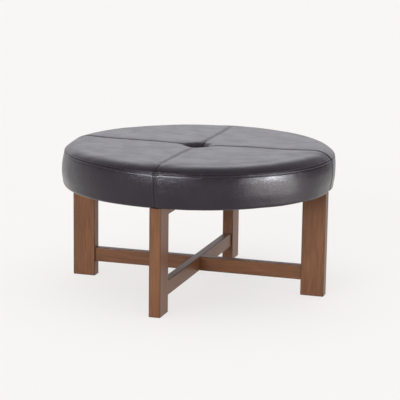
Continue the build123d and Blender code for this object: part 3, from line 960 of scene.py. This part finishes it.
def leather_panel(name, travel, first_bearing):
    """One closed panel of the cover over the given rows."""
    bearing = panel_bearings(travel, first_bearing)
    travel = np.repeat(travel[:, None], bearing.shape[1], axis=1)
    outer, seam_shade_share = cover_points(travel, bearing)
    inner, _ = cover_points(travel, bearing, cover_thickness)
    points = np.concatenate([outer.reshape(-1, 3), inner.reshape(-1, 3)])
    panel = mesh_piece(name, points, shell_faces(*bearing.shape), cover_leather)
    # painted shade along the seams' creases, kept on the panel for its leather
    seam = panel.data.attributes.new("seam", "FLOAT", "POINT")
    seam_shade_share = np.concatenate([seam_shade_share.ravel(), 0 * seam_shade_share.ravel()])
    seam.data.foreach_set("value", seam_shade_share.astype(np.float32))
    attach(panel, "root")
    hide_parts(name.replace("leather_", ""))
    return panel


panels = {}
for number, place in enumerate(("back_right", "back_left", "front_left", "front_right")):
    for part, rows in (("top_panel_", top_rows), ("band_panel_", band_rows)):
        panels[part + place] = leather_panel("leather_" + part + place, rows, number * quarter)
print("panels", {name: len(panel.data.polygons) for name, panel in panels.items()})

# %% [markdown]
# Under the leather lies the padding, also soft: a foam pad on the board, and batting round it that
# softens the board's edge. They follow the sewn surface from inside, so that nothing white shows in a
# crease, and end where the board holds them. Each is a ring-shaped mesh, closed all the way round.

# %% Sizes of foam and batting
deck_low, deck_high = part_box("seat_deck")
batting_thickness = 8.0 * MM
slack = 0.2 * MM
twine_gap = 1.2 * MM
foam_setback = 2 * MM           # how far the foam's base stays inside its edge
batting_setback = 1 * MM
padding_spacing, rim_spacing = 9.0 * MM, 1.0 * MM
foam_base_rows = 24
hollow_shade_ramp = (0.1, 0.5)
# each tone comes with a darker one for the painted shade in the hollows
foam_and_shade_colours = ((0.72, 0.64, 0.42), (0.42, 0.35, 0.20))
batting_and_shade_colours = ((0.85, 0.84, 0.80), (0.66, 0.65, 0.61))
print("batting", batting_thickness / MM, "mm thick, foam under it down to", round(deck_high.z, 3), "m")

# %% Helpers for padding


def surface_rows(start, end, inset):
    """Full circles of points under the cover, from start to end along its outline."""
    travel = graded(start, end, padding_spacing, [(rim_travel, rim_spacing, rim_zone)])
    bearing = np.concatenate([panel_bearings(travel, i * quarter) for i in range(4)], axis=1)
    return cover_points(np.repeat(travel[:, None], bearing.shape[1], axis=1), bearing, inset)[0], bearing[-1]


def plain_row(radius, level, bearing):
    """One circle of points."""
    return round_points(radius, bearing, level)[None]


def travel_at(level, inset):
    """Where the band's surface, drawn in by inset, comes down to a level."""
    below = outline_travel > rim_travel
    levels = outline[below, 1] - inset * outline_normal[below, 1]
    return outline_travel[below][np.argmax(levels <= level)]


def padding(name, rows, material):
    """Closed ring of padding from its rows."""
    rows = np.concatenate(rows)
    faces = grid_faces(*rows.shape[:2], (1, 1))
    piece = mesh_piece("soft_" + name, rows.reshape(-1, 3), faces, material)
    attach(piece, "root")
    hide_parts(name)
    return piece


def spongy(name, colours, scale, depth):
    """Matt foam or fibre: small cells, with painted shade in their hollows."""
    material, tree, output, place = new_material(name)
    cells = node(tree, "ShaderNodeTexVoronoi", {"Vector": place, "Scale": scale}).outputs[0]
    hollow = math_node(tree, "MULTIPLY", cells, noise_node(tree, place, scale / 3, detail=5.0))
    # painted shade in the hollows between the cells
    tone = mixed_colour(tree, ramp_node(tree, hollow, *hollow_shade_ramp), *colours)
    surface(tree, output, tone, dull=0.95, normal=bump_node(tree, hollow, depth, strength=0.5))
    return material


print("helpers for padding ready")

# %% Foam pad
core_inset = cover_thickness + batting_thickness
foam_base_level = deck_high.z + slack
foam_end = travel_at(foam_base_level, core_inset)
foam_top, bearing = surface_rows(twine_gap, foam_end, core_inset + slack)
foam_edge = float(np.hypot(*foam_top[-1, 0, :2]))
foam_base = [plain_row(radius, foam_base_level, bearing)
             for radius in np.linspace(foam_edge - foam_setback, twine_gap, foam_base_rows)]
cream_foam = spongy("cream_foam", foam_and_shade_colours, scale=900.0, depth=0.4 * MM)
foam = padding("foam_pad", [foam_top, *foam_base], cream_foam)
print("foam", len(foam.data.polygons), "faces, its base", round(foam_edge, 3), "m in radius")

# %% Batting
batting_foot_level = deck_low.z + 2 * slack
batting_end = travel_at(batting_foot_level, cover_thickness + slack)
batting_top, bearing = surface_rows(hole_radius, batting_end, cover_thickness + slack)
batting_under, _ = surface_rows(hole_radius, foam_end, core_inset)
board_edge = deck_high.x + slack
batting_foot = [(board_edge, batting_foot_level), (board_edge, deck_high.z),
                (foam_edge - batting_setback, deck_high.z)]
batting_foot = [plain_row(radius, level, bearing) for radius, level in batting_foot]
white_batting = spongy("white_batting", batting_and_shade_colours, scale=500.0, depth=0.8 * MM)
batting = padding("batting", [batting_top, *batting_foot, batting_under[::-1]], white_batting)
print("batting", len(batting.data.polygons), "faces")

# %% [markdown]
# The tuft ends in a covered button: a leather-wrapped cap whose leather is gathered underneath, so its
# side has small regular pleats. A turned outline makes it, with the pleats as a wave in its radius.

# %% Sizes of the button
button_low, button_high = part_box("button_shell")
button_radius = button_high.x
pleat_count = 26
pleat_share = 0.022
pleat_top, pleat_growth = 4.5 * MM, 4.0 * MM
pleat_drift = 1.5               # how unevenly the pleats lie round the button
button_columns, dome_rows = 156, 18
dome_power = 0.9
plate_rim, plate_depth = 1.35 * MM, 1.65 * MM
wall_outline = ((1.0, 2.6 * MM), (0.995, 1.2 * MM), (0.96, 0.3 * MM), (0.91, 0.0))  # share of radius, height
print("button", round(2 * button_radius / MM, 1), "mm across with", pleat_count, "pleats")

# %% Covered button


def turned_piece(name, outline_points, columns, material, shape, sharp_angle=50):
    """Piece turned about the table's axis from (radius, height) points, closed where the radius is zero."""
    bearing = np.arange(columns) * 2 * math.pi / columns
    points, rings = [], []
    for radius, level in outline_points:
        count = columns if radius > 0 else 1
        rings.append(len(points) + np.arange(count))
        for angle in bearing[:count]:
            points.append((radius * math.cos(angle), radius * math.sin(angle), level))
    faces = []
    for above, below in zip(rings, rings[1:]):
        for i in range(columns):
            corners = ((above, i), (below, i), (below, i + 1), (above, i + 1))
            faces.append(list(dict.fromkeys(int(ring[corner % len(ring)]) for ring, corner in corners)))
    return mesh_piece(name, shape(np.array(points)), faces, material, sharp_angle)


def gathered(points):
    """Pleats the button's side, more towards its lower edge."""
    radius = np.hypot(points[:, 0], points[:, 1])
    bearing = np.arctan2(points[:, 1], points[:, 0])
    low = risen(button_low.z + pleat_top - points[:, 2], pleat_growth) * risen(radius, button_radius) ** 4
    swell = 1 + pleat_share * low * np.cos(pleat_count * bearing + pleat_drift * np.sin(3 * bearing))
    return points * np.stack([swell, swell, np.ones_like(swell)], axis=-1)


wall_height = wall_outline[0][1]
dome_rise = button_high.z - button_low.z - wall_height
dome = [(button_radius * math.sin(t), button_low.z + wall_height + dome_rise * math.cos(t) ** dome_power)
        for t in np.linspace(0, quarter, dome_rows)[:-1]]
wall = [(button_radius * share, button_low.z + rise) for share, rise in wall_outline]
plate_bed = [(radius, button_low.z + plate_depth) for radius in (button_radius - plate_rim, 0.0)]
button = turned_piece("leather_button", dome + wall + plate_bed, button_columns, button_leather, gathered)
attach(button, "root")
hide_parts("button_shell")
print("button", len(button.data.polygons), "faces")

# %% [markdown]
# A black non-woven cloth closes the underside. It is one round cut with its edge folded under and
# stapled, it rests on the rails, and it hangs a little between them.

# %% Sizes of the dust cover
cloth_low, cloth_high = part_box("dust_cover")
cloth_radius = cloth_high.x
cloth_thickness = 0.4 * MM
hem_width = 12.0 * MM
hem_roll = 0.5 * MM
hem_gap = 0.05 * MM
fold_gap = 0.6 * MM
rail_half = 14.0 * MM
cloth_sag = 3.5 * MM
sag_reach = 70 * MM             # how far from a rail the cloth hangs freely
cloth_ripple = 0.5 * MM
ripple_radius = 380 * MM
ripple_reach = 22 * MM
ripple_growth = 30 * MM
cloth_wave = 0.35 * MM
cloth_wave_length = 60 * MM
hem_count = 40
cloth_columns, cloth_rows = 240, 46
dot_ramp = (0.15, 0.4, 0.6, 0.0)
cloth_black = (0.010, 0.010, 0.011)
cloth_fuzz = (0.034, 0.034, 0.036)
cloth_dot = (0.006, 0.006, 0.007)
print("dust cover", round(2 * cloth_radius, 3), "m across, its hem", hem_width / MM, "mm wide")

# %% Black dust cloth
cloth, tree, output, place = new_material("black_dust_cloth")
dots = node(tree, "ShaderNodeTexVoronoi", {"Vector": place, "Scale": 620.0, "Randomness": 0.35}).outputs[0]
tone = mixed_colour(tree, noise_node(tree, place, scale=1500.0, detail=4.0), cloth_black, cloth_fuzz)
tone = mixed_colour(tree, ramp_node(tree, dots, *dot_ramp), tone, cloth_dot)
surface(tree, output, tone, dull=0.8, normal=bump_node(tree, dots, distance=0.1 * MM, strength=0.4))
print("black dust cloth ready")

# %% Dust cover


def hanging(points):
    """Sags the cloth between the rails and ripples it between its staples."""
    x, y = np.abs(points[:, 0]), np.abs(points[:, 1])
    radius = np.hypot(x, y)
    bearing = np.arctan2(points[:, 1], points[:, 0])
    off_rails = 1 - bell(np.clip(x - rail_half, 0, None), sag_reach)
    off_rails *= 1 - bell(np.clip(y - rail_half, 0, None), sag_reach)
    inside = np.clip(1 - (radius / (cloth_radius - hem_width)) ** 2, 0, 1)
    ripple = cloth_ripple * np.sin(hem_count * bearing) * bell(radius - ripple_radius, ripple_reach)
    ripple *= risen(np.minimum(x, y) - rail_half, ripple_growth)
    wave = cloth_wave * noise_field(points * np.array([1, 1, 0.0]), cloth_wave_length, 9) * off_rails
    points[:, 2] -= cloth_sag * off_rails * inside + np.abs(ripple) + np.abs(wave)
    return points


fold = cloth_low.z + cloth_thickness
cloth_line = [(radius, cloth_low.z) for radius in np.linspace(0, cloth_radius - hem_roll, cloth_rows)]
cloth_line += [(cloth_radius, fold), (cloth_radius - hem_roll, fold + cloth_thickness)]
cloth_line += [(cloth_radius - hem_width, fold + cloth_thickness), (cloth_radius - hem_width, fold + hem_gap)]
cloth_line += [(cloth_radius - fold_gap, fold + hem_gap), (cloth_radius - fold_gap, fold)]
cloth_line += [(radius, fold) for radius in np.linspace(cloth_radius - 2 * fold_gap, 0, cloth_rows - 1)]
dust_cover = turned_piece("dust_cloth", cloth_line, cloth_columns, cloth, hanging)
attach(dust_cover, "root")
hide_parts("dust_cover")

# %% [markdown]
# Stitches, staples, screws and twine repeat or follow a line, so they are grown by Geometry Nodes: a
# tree is a recipe with named sizes, a modifier runs it on a path, and the result is kept as plain mesh.

# %% Helpers for geometry trees


def geometry_tree(name, inputs):
    """Empty geometry tree with named sizes: the tree and its inputs by name."""
    tree = bpy.data.node_groups.new(name, "GeometryNodeTree")
    tree.interface.new_socket("Geometry", in_out="INPUT", socket_type="NodeSocketGeometry")
    for label, value in inputs.items():
        kind = "NodeSocketInt" if isinstance(value, int) else "NodeSocketFloat"
        tree.interface.new_socket(label, in_out="INPUT", socket_type=kind).default_value = value
    tree.interface.new_socket("Material", in_out="INPUT", socket_type="NodeSocketMaterial")
    tree.interface.new_socket("Geometry", in_out="OUTPUT", socket_type="NodeSocketGeometry")
    return tree, tree.nodes.new("NodeGroupInput").outputs


def finish_tree(tree, given, points, shape, smooth=True, **turn):
    """Ends a tree: a shape on every point, made real, with its material."""
    real = node(tree, "GeometryNodeInstanceOnPoints", {0: points, "Instance": shape, **turn}).outputs[0]
    real = node(tree, "GeometryNodeRealizeInstances", {0: real}).outputs[0]
    if smooth:
        real = node(tree, "GeometryNodeSetShadeSmooth", {0: real}).outputs[0]
    painted = node(tree, "GeometryNodeSetMaterial", {0: real, "Material": given["Material"]}).outputs[0]
    node(tree, "NodeGroupOutput", {0: painted})
    print("tree", tree.name, "with", len(tree.nodes), "nodes")


def grown(name, points, edges, tree, values):
    """Plain mesh piece that a tree grows on a path or on points, with the tree's inputs set from values."""
    path = bpy.data.meshes.new(name + "_path")
    path.from_pydata([tuple(point) for point in points], edges, [])
    piece = bpy.data.objects.new(name, path)
    bpy.context.scene.collection.objects.link(piece)
    modifier = piece.modifiers.new(tree.name, "NODES")
    modifier.node_group = tree
    for socket in tree.interface.items_tree:
        if socket.in_out == "INPUT" and socket.name in values:
            modifier[socket.identifier] = values[socket.name]
    made = bpy.data.meshes.new_from_object(piece.evaluated_get(bpy.context.evaluated_depsgraph_get()))
    piece.modifiers.remove(modifier)
    piece.data = made
    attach(piece, "root")
    return piece


print("helpers for geometry trees ready")

# %% Shapes in a geometry tree


def placed(tree, shape, **inputs):
    """Shape moved, turned or scaled."""
    return node(tree, "GeometryNodeTransform", {0: shape, **inputs}).outputs[0]


def upwards(tree, value):
    """Vector that points up by a value."""
    return node(tree, "ShaderNodeCombineXYZ", {2: value}).outputs[0]


def swept(tree, line, radius, sides):
    """Wire of a radius along a line."""
    section = {"Resolution": sides, "Radius": radius}
    section = node(tree, "GeometryNodeCurvePrimitiveCircle", section).outputs[0]
    return node(tree, "GeometryNodeCurveToMesh", {0: line, 1: section, "Fill Caps": True}).outputs[0]


def wound(tree, radius, height, turns, steps):
    """Line wound up round the axis, with so many steps to a turn."""
    inputs = {"Resolution": steps, "Rotations": turns, "Start Radius": radius, "End Radius": radius,
              "Height": height}
    return node(tree, "GeometryNodeCurveSpiral", inputs).outputs[0]


def together(tree, *shapes):
    """Several shapes as one."""
    whole = node(tree, "GeometryNodeJoinGeometry")
    for shape in shapes:
        tree.links.new(shape, whole.inputs[0])
    return whole.outputs[0]


print("helpers for shapes ready")

# %% [markdown]
# Stitches on upholstery lie in two rows, one on each side of a seam. A bump could draw them, but real
# beads of thread catch the light and cast a shadow. Each is a stretched ball, at even steps along a path
# that follows the cover, leaning a little by chance.

# %% Sizes of the stitches
stitch_inputs = {"Pitch": 5.2 * MM, "Length": 4.0 * MM, "Thread radius": 0.33 * MM, "Tilt": 0.05, "Seed": 7}
thread_dark = (0.020, 0.014, 0.014)
thread_light = (0.050, 0.038, 0.036)
thread_stand = 0.12 * MM        # how far the path lies above the leather
row_step = 2.0 * MM
row_margin = 1.6 * stitch_offset
tuft_clearance, band_stitched = 46 * MM, 118 * MM
row_ends = ((tuft_clearance, rim_travel - row_margin), (rim_travel + row_margin, rim_travel + band_stitched))
print("stitches", stitch_inputs["Length"] / MM, "mm long, one every", stitch_inputs["Pitch"] / MM, "mm")

# %% Tree for a row of stitches
stitch_tree, given = geometry_tree("row of stitches", stitch_inputs)
path = node(stitch_tree, "GeometryNodeMeshToCurve", {0: given["Geometry"]}).outputs[0]
beads = node(stitch_tree, "GeometryNodeCurveToPoints", {0: path, "Length": given["Pitch"]}, mode="LENGTH")
half = math_node(stitch_tree, "MULTIPLY", given["Length"], 0.5)
thread_radius = given["Thread radius"]
size = node(stitch_tree, "ShaderNodeCombineXYZ", {0: half, 1: thread_radius, 2: thread_radius}).outputs[0]
bead = node(stitch_tree, "GeometryNodeMeshUVSphere", {"Segments": 6, "Rings": 5, "Radius": 1.0}).outputs[0]
along = {"Vector": beads.outputs["Tangent"]}
along = node(stitch_tree, "FunctionNodeAlignRotationToVector", along, axis="X").outputs[0]
least = math_node(stitch_tree, "MULTIPLY", given["Tilt"], -1.0)
chance = {"Min": least, "Max": given["Tilt"], "Seed": given["Seed"]}
chance = node(stitch_tree, "FunctionNodeRandomValue", chance).outputs[1]
lean = node(stitch_tree, "FunctionNodeAxisAngleToRotation", {"Angle": chance}).outputs[0]
along = {0: along, 1: lean}
along = node(stitch_tree, "FunctionNodeRotateRotation", along, rotation_space="LOCAL").outputs[0]
bead = placed(stitch_tree, bead, Scale=size)
finish_tree(stitch_tree, given, beads.outputs["Points"], bead, Rotation=along)

# %% Rows of stitches
thread, tree, output, place = new_material("brown_thread")
twist = node(tree, "ShaderNodeTexWave", {"Vector": place, "Scale": 900.0, "Distortion": 2.0}).outputs[1]
tone = mixed_colour(tree, twist, thread_dark, thread_light)
surface(tree, output, tone, dull=0.5, normal=bump_node(tree, twist, distance=0.05 * MM, strength=0.4))

stitch_points, stitch_edges = [], []


def stitch_row(travel, bearing):
    """Adds one row of stitches that follows the cover's surface."""
    points = cover_points(travel, bearing, -thread_stand)[0]
    first = len(stitch_points)
    stitch_points.extend(points)
    stitch_edges.extend((i, i + 1) for i in range(first, first + len(points) - 1))


for seam_bearing in quarter * np.arange(4):
    for start, end in row_ends:
        travel = np.arange(start, end, row_step)
        for side in (-1, 1):
            stitch_row(travel, (seam_bearing + side * stitch_offset / plain_cover(travel)[0]) % (4 * quarter))
    for side in (-1, 1):
        margin = row_margin / rim_radius
        bearing = seam_bearing + np.arange(margin, quarter - margin, row_step / rim_radius)
        stitch_row(rim_travel + side * stitch_offset + 0 * bearing, bearing)
stitches = grown("seam_stitches", stitch_points, stitch_edges, stitch_tree, {"Material": thread})
print("stitches", len(stitches.data.polygons), "faces on", len(stitch_edges), "path edges")

# %% [markdown]
# Upholstery staples are flat crowns of galvanised wire. One bent wire is placed at even steps round a
# ring, once for the cover's tucked edge and once for the dust cover.

# %% Sizes of the staples
wire_radius = 0.3 * MM
staple_inputs = {"Count": 40, "Ring radius": 0.4, "Wire radius": wire_radius, "Bend": 0.6 * MM, "Turn": 0.0}
staple_half_crown = 4.45 * MM
staple_leg = 7.7 * MM
staple_turn = math.radians(4.5)
tuck_margin = 8.0 * MM
hem_margin = 6.0 * MM
scratch_stretch = (1.0, 0.15, 1.0)
plating_ramp = (0.35, 0.65)
plating_dull_ramp = (0.3, 0.7, 0.28, 0.5)
zinc_colours = ((0.58, 0.57, 0.54), (0.42, 0.41, 0.38))
wire_colours = ((0.62, 0.62, 0.62), (0.45, 0.46, 0.47))
print("staples", 2 * staple_half_crown / MM, "mm wide with legs of", staple_leg / MM, "mm")

# %% Tree for a ring of staples
staple_tree, given = geometry_tree("ring of staples", staple_inputs)
wire = node(staple_tree, "GeometryNodeMeshToCurve", {0: given["Geometry"]}).outputs[0]
bend = {0: wire, "Radius": given["Bend"], "Count": 3}
wire = node(staple_tree, "GeometryNodeFilletCurve", bend, mode="POLY").outputs[0]
wire = swept(staple_tree, wire, given["Wire radius"], sides=6)
ring = {"Vertices": given["Count"], "Radius": given["Ring radius"]}
ring = node(staple_tree, "GeometryNodeMeshCircle", ring).outputs[0]
ring = placed(staple_tree, ring, Rotation=upwards(staple_tree, given["Turn"]))
facing = {"Vector": node(staple_tree, "GeometryNodeInputPosition").outputs[0]}
facing = node(staple_tree, "FunctionNodeAlignRotationToVector", facing, axis="X", pivot_axis="Z").outputs[0]
finish_tree(staple_tree, given, ring, wire, Rotation=facing)

# %% Plated steel


def metal(name, colours, scale):
    """Plated steel with fine scratches and a slightly uneven plating."""
    material, tree, output, place = new_material(name)
    scratch = noise_node(tree, vector_node(tree, "MULTIPLY", place, scratch_stretch), scale, detail=4.0)
    tone = mixed_colour(tree, ramp_node(tree, scratch, *plating_ramp), *colours)
    normal = bump_node(tree, scratch, distance=0.03 * MM, strength=0.2)
    surface(tree, output, tone, ramp_node(tree, scratch, *plating_dull_ramp), normal, {"Metallic": 1.0})
    return material


galvanised = metal("galvanised_wire", wire_colours, scale=900.0)
zinc = metal("zinc_plated_steel", zinc_colours, scale=700.0)
print("plated steel ready")

# %% Rings of staples


def staples(name, ring_radius, level):
    """Ring of staples in place of their construction solids."""
    low, high = level - wire_radius, level + staple_leg
    path = [(0, -staple_half_crown, high), (0, -staple_half_crown, low),
            (0, staple_half_crown, low), (0, staple_half_crown, high)]
    values = {"Ring radius": ring_radius, "Turn": staple_turn, "Material": galvanised}
    piece = grown("wire_" + name, path, [(0, 1), (1, 2), (2, 3)], staple_tree, values)
    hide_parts(name)
    return piece


cover_staples = staples("cover_staples", tuck_radius + tuck_margin, cover_underside)
dust_staples = staples("dust_cover_staples", cloth_radius - hem_margin, cloth_low.z)
print("staples", len(cover_staples.data.polygons) + len(dust_staples.data.polygons), "faces")

# %% [markdown]
# The screws are countersunk, with a cross recess and a rolled thread. The thread is a spiral with a
# three-sided section, and the recess is cut from the head by two crossed bars.

# %% Tree for a driven screw
screw_inputs = {"Length": 40 * MM, "Head radius": 4.2 * MM, "Head height": 2.8 * MM, "Core radius": 1.65 * MM,
                "Thread radius": 2.1 * MM, "Thread pitch": 2.2 * MM, "Point": 5.0 * MM}
recess_size = (4.6 * MM, 1.0 * MM, 3.2 * MM)
ridge_radius = 0.5 * MM
point_radius = 0.1 * MM
screw_tree, given = geometry_tree("driven screw", screw_inputs)


def cone(bottom, top, height, level, sides=24):
    """Cone from level up, in the screw's tree."""
    inputs = {"Vertices": sides, "Radius Bottom": bottom, "Radius Top": top, "Depth": height}
    made = node(screw_tree, "GeometryNodeMeshCone", inputs).outputs["Mesh"]
    return placed(screw_tree, made, Translation=upwards(screw_tree, level))


core_radius, head_height = given["Core radius"], given["Head height"]
head = cone(given["Head radius"], given["Thread radius"], head_height, 0.0)
head = node(screw_tree, "GeometryNodeMeshBoolean", {0: head}, operation="DIFFERENCE")
for turn in (0, quarter):
    recess = node(screw_tree, "GeometryNodeMeshCube", {"Size": recess_size}).outputs["Mesh"]
    screw_tree.links.new(placed(screw_tree, recess, Rotation=(0, 0, turn)), head.inputs[1])
tip_level = math_node(screw_tree, "SUBTRACT", given["Length"], given["Point"])
core_height = math_node(screw_tree, "SUBTRACT", tip_level, head_height)
core = cone(core_radius, core_radius, core_height, head_height)
tip = cone(core_radius, point_radius, given["Point"], tip_level)
turns = math_node(screw_tree, "DIVIDE", core_height, given["Thread pitch"])
ridge = wound(screw_tree, core_radius, core_height, turns, steps=14)
ridge = swept(screw_tree, ridge, ridge_radius, sides=3)
ridge = placed(screw_tree, ridge, Translation=upwards(screw_tree, head_height))
screw = together(screw_tree, ridge, tip, core, head.outputs[0])
finish_tree(screw_tree, given, given["Geometry"], screw, smooth=False)

# %% Driven screws
lap_bite = 13.0 * MM            # how far a lap screw goes into the second bar
first_screw = 120.0 * MM        # how far out along a rail the board's screws stand
last_screw_margin = 62.0 * MM


def driven_screws(name, places, length, replaced):
    """Screws with their heads at the given places, pointing up."""
    piece = grown(name, places, [], screw_tree, {"Length": length, "Material": zinc})
    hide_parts(replaced)
    return piece


for level, bar in (("lower", "lower_stretcher_left_right"), ("upper", "upper_rail_left_right")):
    bar_low, bar_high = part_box(bar)
    length = (bar_high.z - bar_low.z) / 2 + lap_bite
    driven_screws(level + "_lap_screw", [(0, 0, bar_low.z)], length, "lap_screws")
seat_screw_low, seat_screw_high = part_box("seat_screws")
screw_radii = (first_screw, bar_high.x - last_screw_margin)
seat_places = [(math.cos(i * quarter) * radius, math.sin(i * quarter) * radius, seat_screw_low.z)
               for i in range(4) for radius in screw_radii]
driven_screws("board_screws", seat_places, seat_screw_high.z - seat_screw_low.z, "seat_screws")
print("screws", len(seat_places) + 2)

# %% [markdown]
# Waxed tufting twine runs from the washer under the board up to the button's eye: two plies laid round
# each other, and below the washer a knot of three tight turns.

# %% Tufting twine
twine_inputs = {"Length": 90 * MM, "Ply radius": 0.46 * MM, "Lay": 4.0 * MM, "Knot radius": 1.3 * MM,
                "Knot height": 1.5 * MM}
twine_dark = (0.46, 0.40, 0.29)
twine_light = (0.62, 0.56, 0.44)
knot_turns = 3.0
knot_room = 0.5 * MM

twine_tree, given = geometry_tree("two-ply twine", twine_inputs)
ply_radius = given["Ply radius"]
turns = math_node(twine_tree, "DIVIDE", given["Length"], given["Lay"])
ply = wound(twine_tree, ply_radius, given["Length"], turns, steps=12)
ply = swept(twine_tree, ply, ply_radius, sides=8)
other_ply = placed(twine_tree, ply, Rotation=(0, 0, math.pi))
knot = wound(twine_tree, given["Knot radius"], given["Knot height"], knot_turns, steps=20)
knot = swept(twine_tree, knot, ply_radius, sides=8)
finish_tree(twine_tree, given, given["Geometry"], together(twine_tree, knot, other_ply, ply))

waxed, tree, output, place = new_material("waxed_twine")
strand = noise_node(tree, place, scale=1800.0, detail=3.0)
tone = mixed_colour(tree, strand, twine_dark, twine_light)
surface(tree, output, tone, dull=0.6, normal=bump_node(tree, strand, distance=0.05 * MM, strength=0.4))

twine_low, twine_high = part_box("tuft_twine")
twine_values = {"Length": twine_high.z - twine_low.z - knot_room, "Material": waxed}
twine = grown("twine_strand", [(0, 0, twine_low.z + knot_room)], [], twine_tree, twine_values)
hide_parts("tuft_twine")
print("twine", round(twine_high.z - twine_low.z, 4), "m long")

# %% [markdown]
# What is left are construction solids that need only a finish: pale beech dowels, the layered board,
# the zinc-plated washer and eye plate, and the brown nylon glides.

# %% Finishes of the hidden pieces
beech_colours = ((0.66, 0.46, 0.28), (0.50, 0.33, 0.19))
birch_colours = ((0.62, 0.47, 0.30), (0.50, 0.36, 0.22))
glue_line = (0.30, 0.18, 0.10)
plies_per_metre = 370.0
pale_fibre_ramp = (0.35, 0.65)
glue_ramp = (-0.3, 0.3, 0.0, 0.45)
scuff_ramp = (0.4, 0.7)
scuff_dull_ramp = (0.3, 0.7, 0.35, 0.6)
nylon_colours = ((0.060, 0.042, 0.032), (0.105, 0.082, 0.066))


def plain_wood(name, lie, colours, layers=0.0):
    """Unfinished pale wood; layers is the number of plies per metre that an edge shows."""
    material, tree, output, place = new_material(name)
    fibre = turned_grain(tree, place, lie)["Fibre"]
    colour = mixed_colour(tree, ramp_node(tree, fibre, *pale_fibre_ramp), *colours)
    if layers:
        level = node(tree, "ShaderNodeSeparateXYZ", {0: place}).outputs[2]
        ply = math_node(tree, "SINE", math_node(tree, "MULTIPLY", level, layers * 2 * math.pi))
        colour = mixed_colour(tree, ramp_node(tree, ply, *glue_ramp), colour, glue_line)
    surface(tree, output, colour, dull=0.65, normal=bump_node(tree, fibre, distance=0.1 * MM, strength=0.3))
    return material


beech = plain_wood("raw_beech", along_x, beech_colours)
dress("lower_dowels", beech)
dress("upper_dowels", beech)
dress("seat_deck", plain_wood("birch_plywood", along_x, birch_colours, plies_per_metre))
dress("tuft_washer", zinc)
dress("button_back", zinc)

nylon, tree, output, place = new_material("brown_nylon")
scuff = noise_node(tree, place, scale=160.0, detail=4.0)
tone = mixed_colour(tree, ramp_node(tree, scuff, *scuff_ramp), *nylon_colours)
speckles = noise_node(tree, place, scale=1200.0, detail=3.0)
speckled = bump_node(tree, speckles, distance=0.05 * MM, strength=0.25)
surface(tree, output, tone, ramp_node(tree, scuff, *scuff_dull_ramp), speckled)
for side in ("right", "back", "left", "front"):
    dress("glide_" + side, nylon)
print("hidden pieces finished")
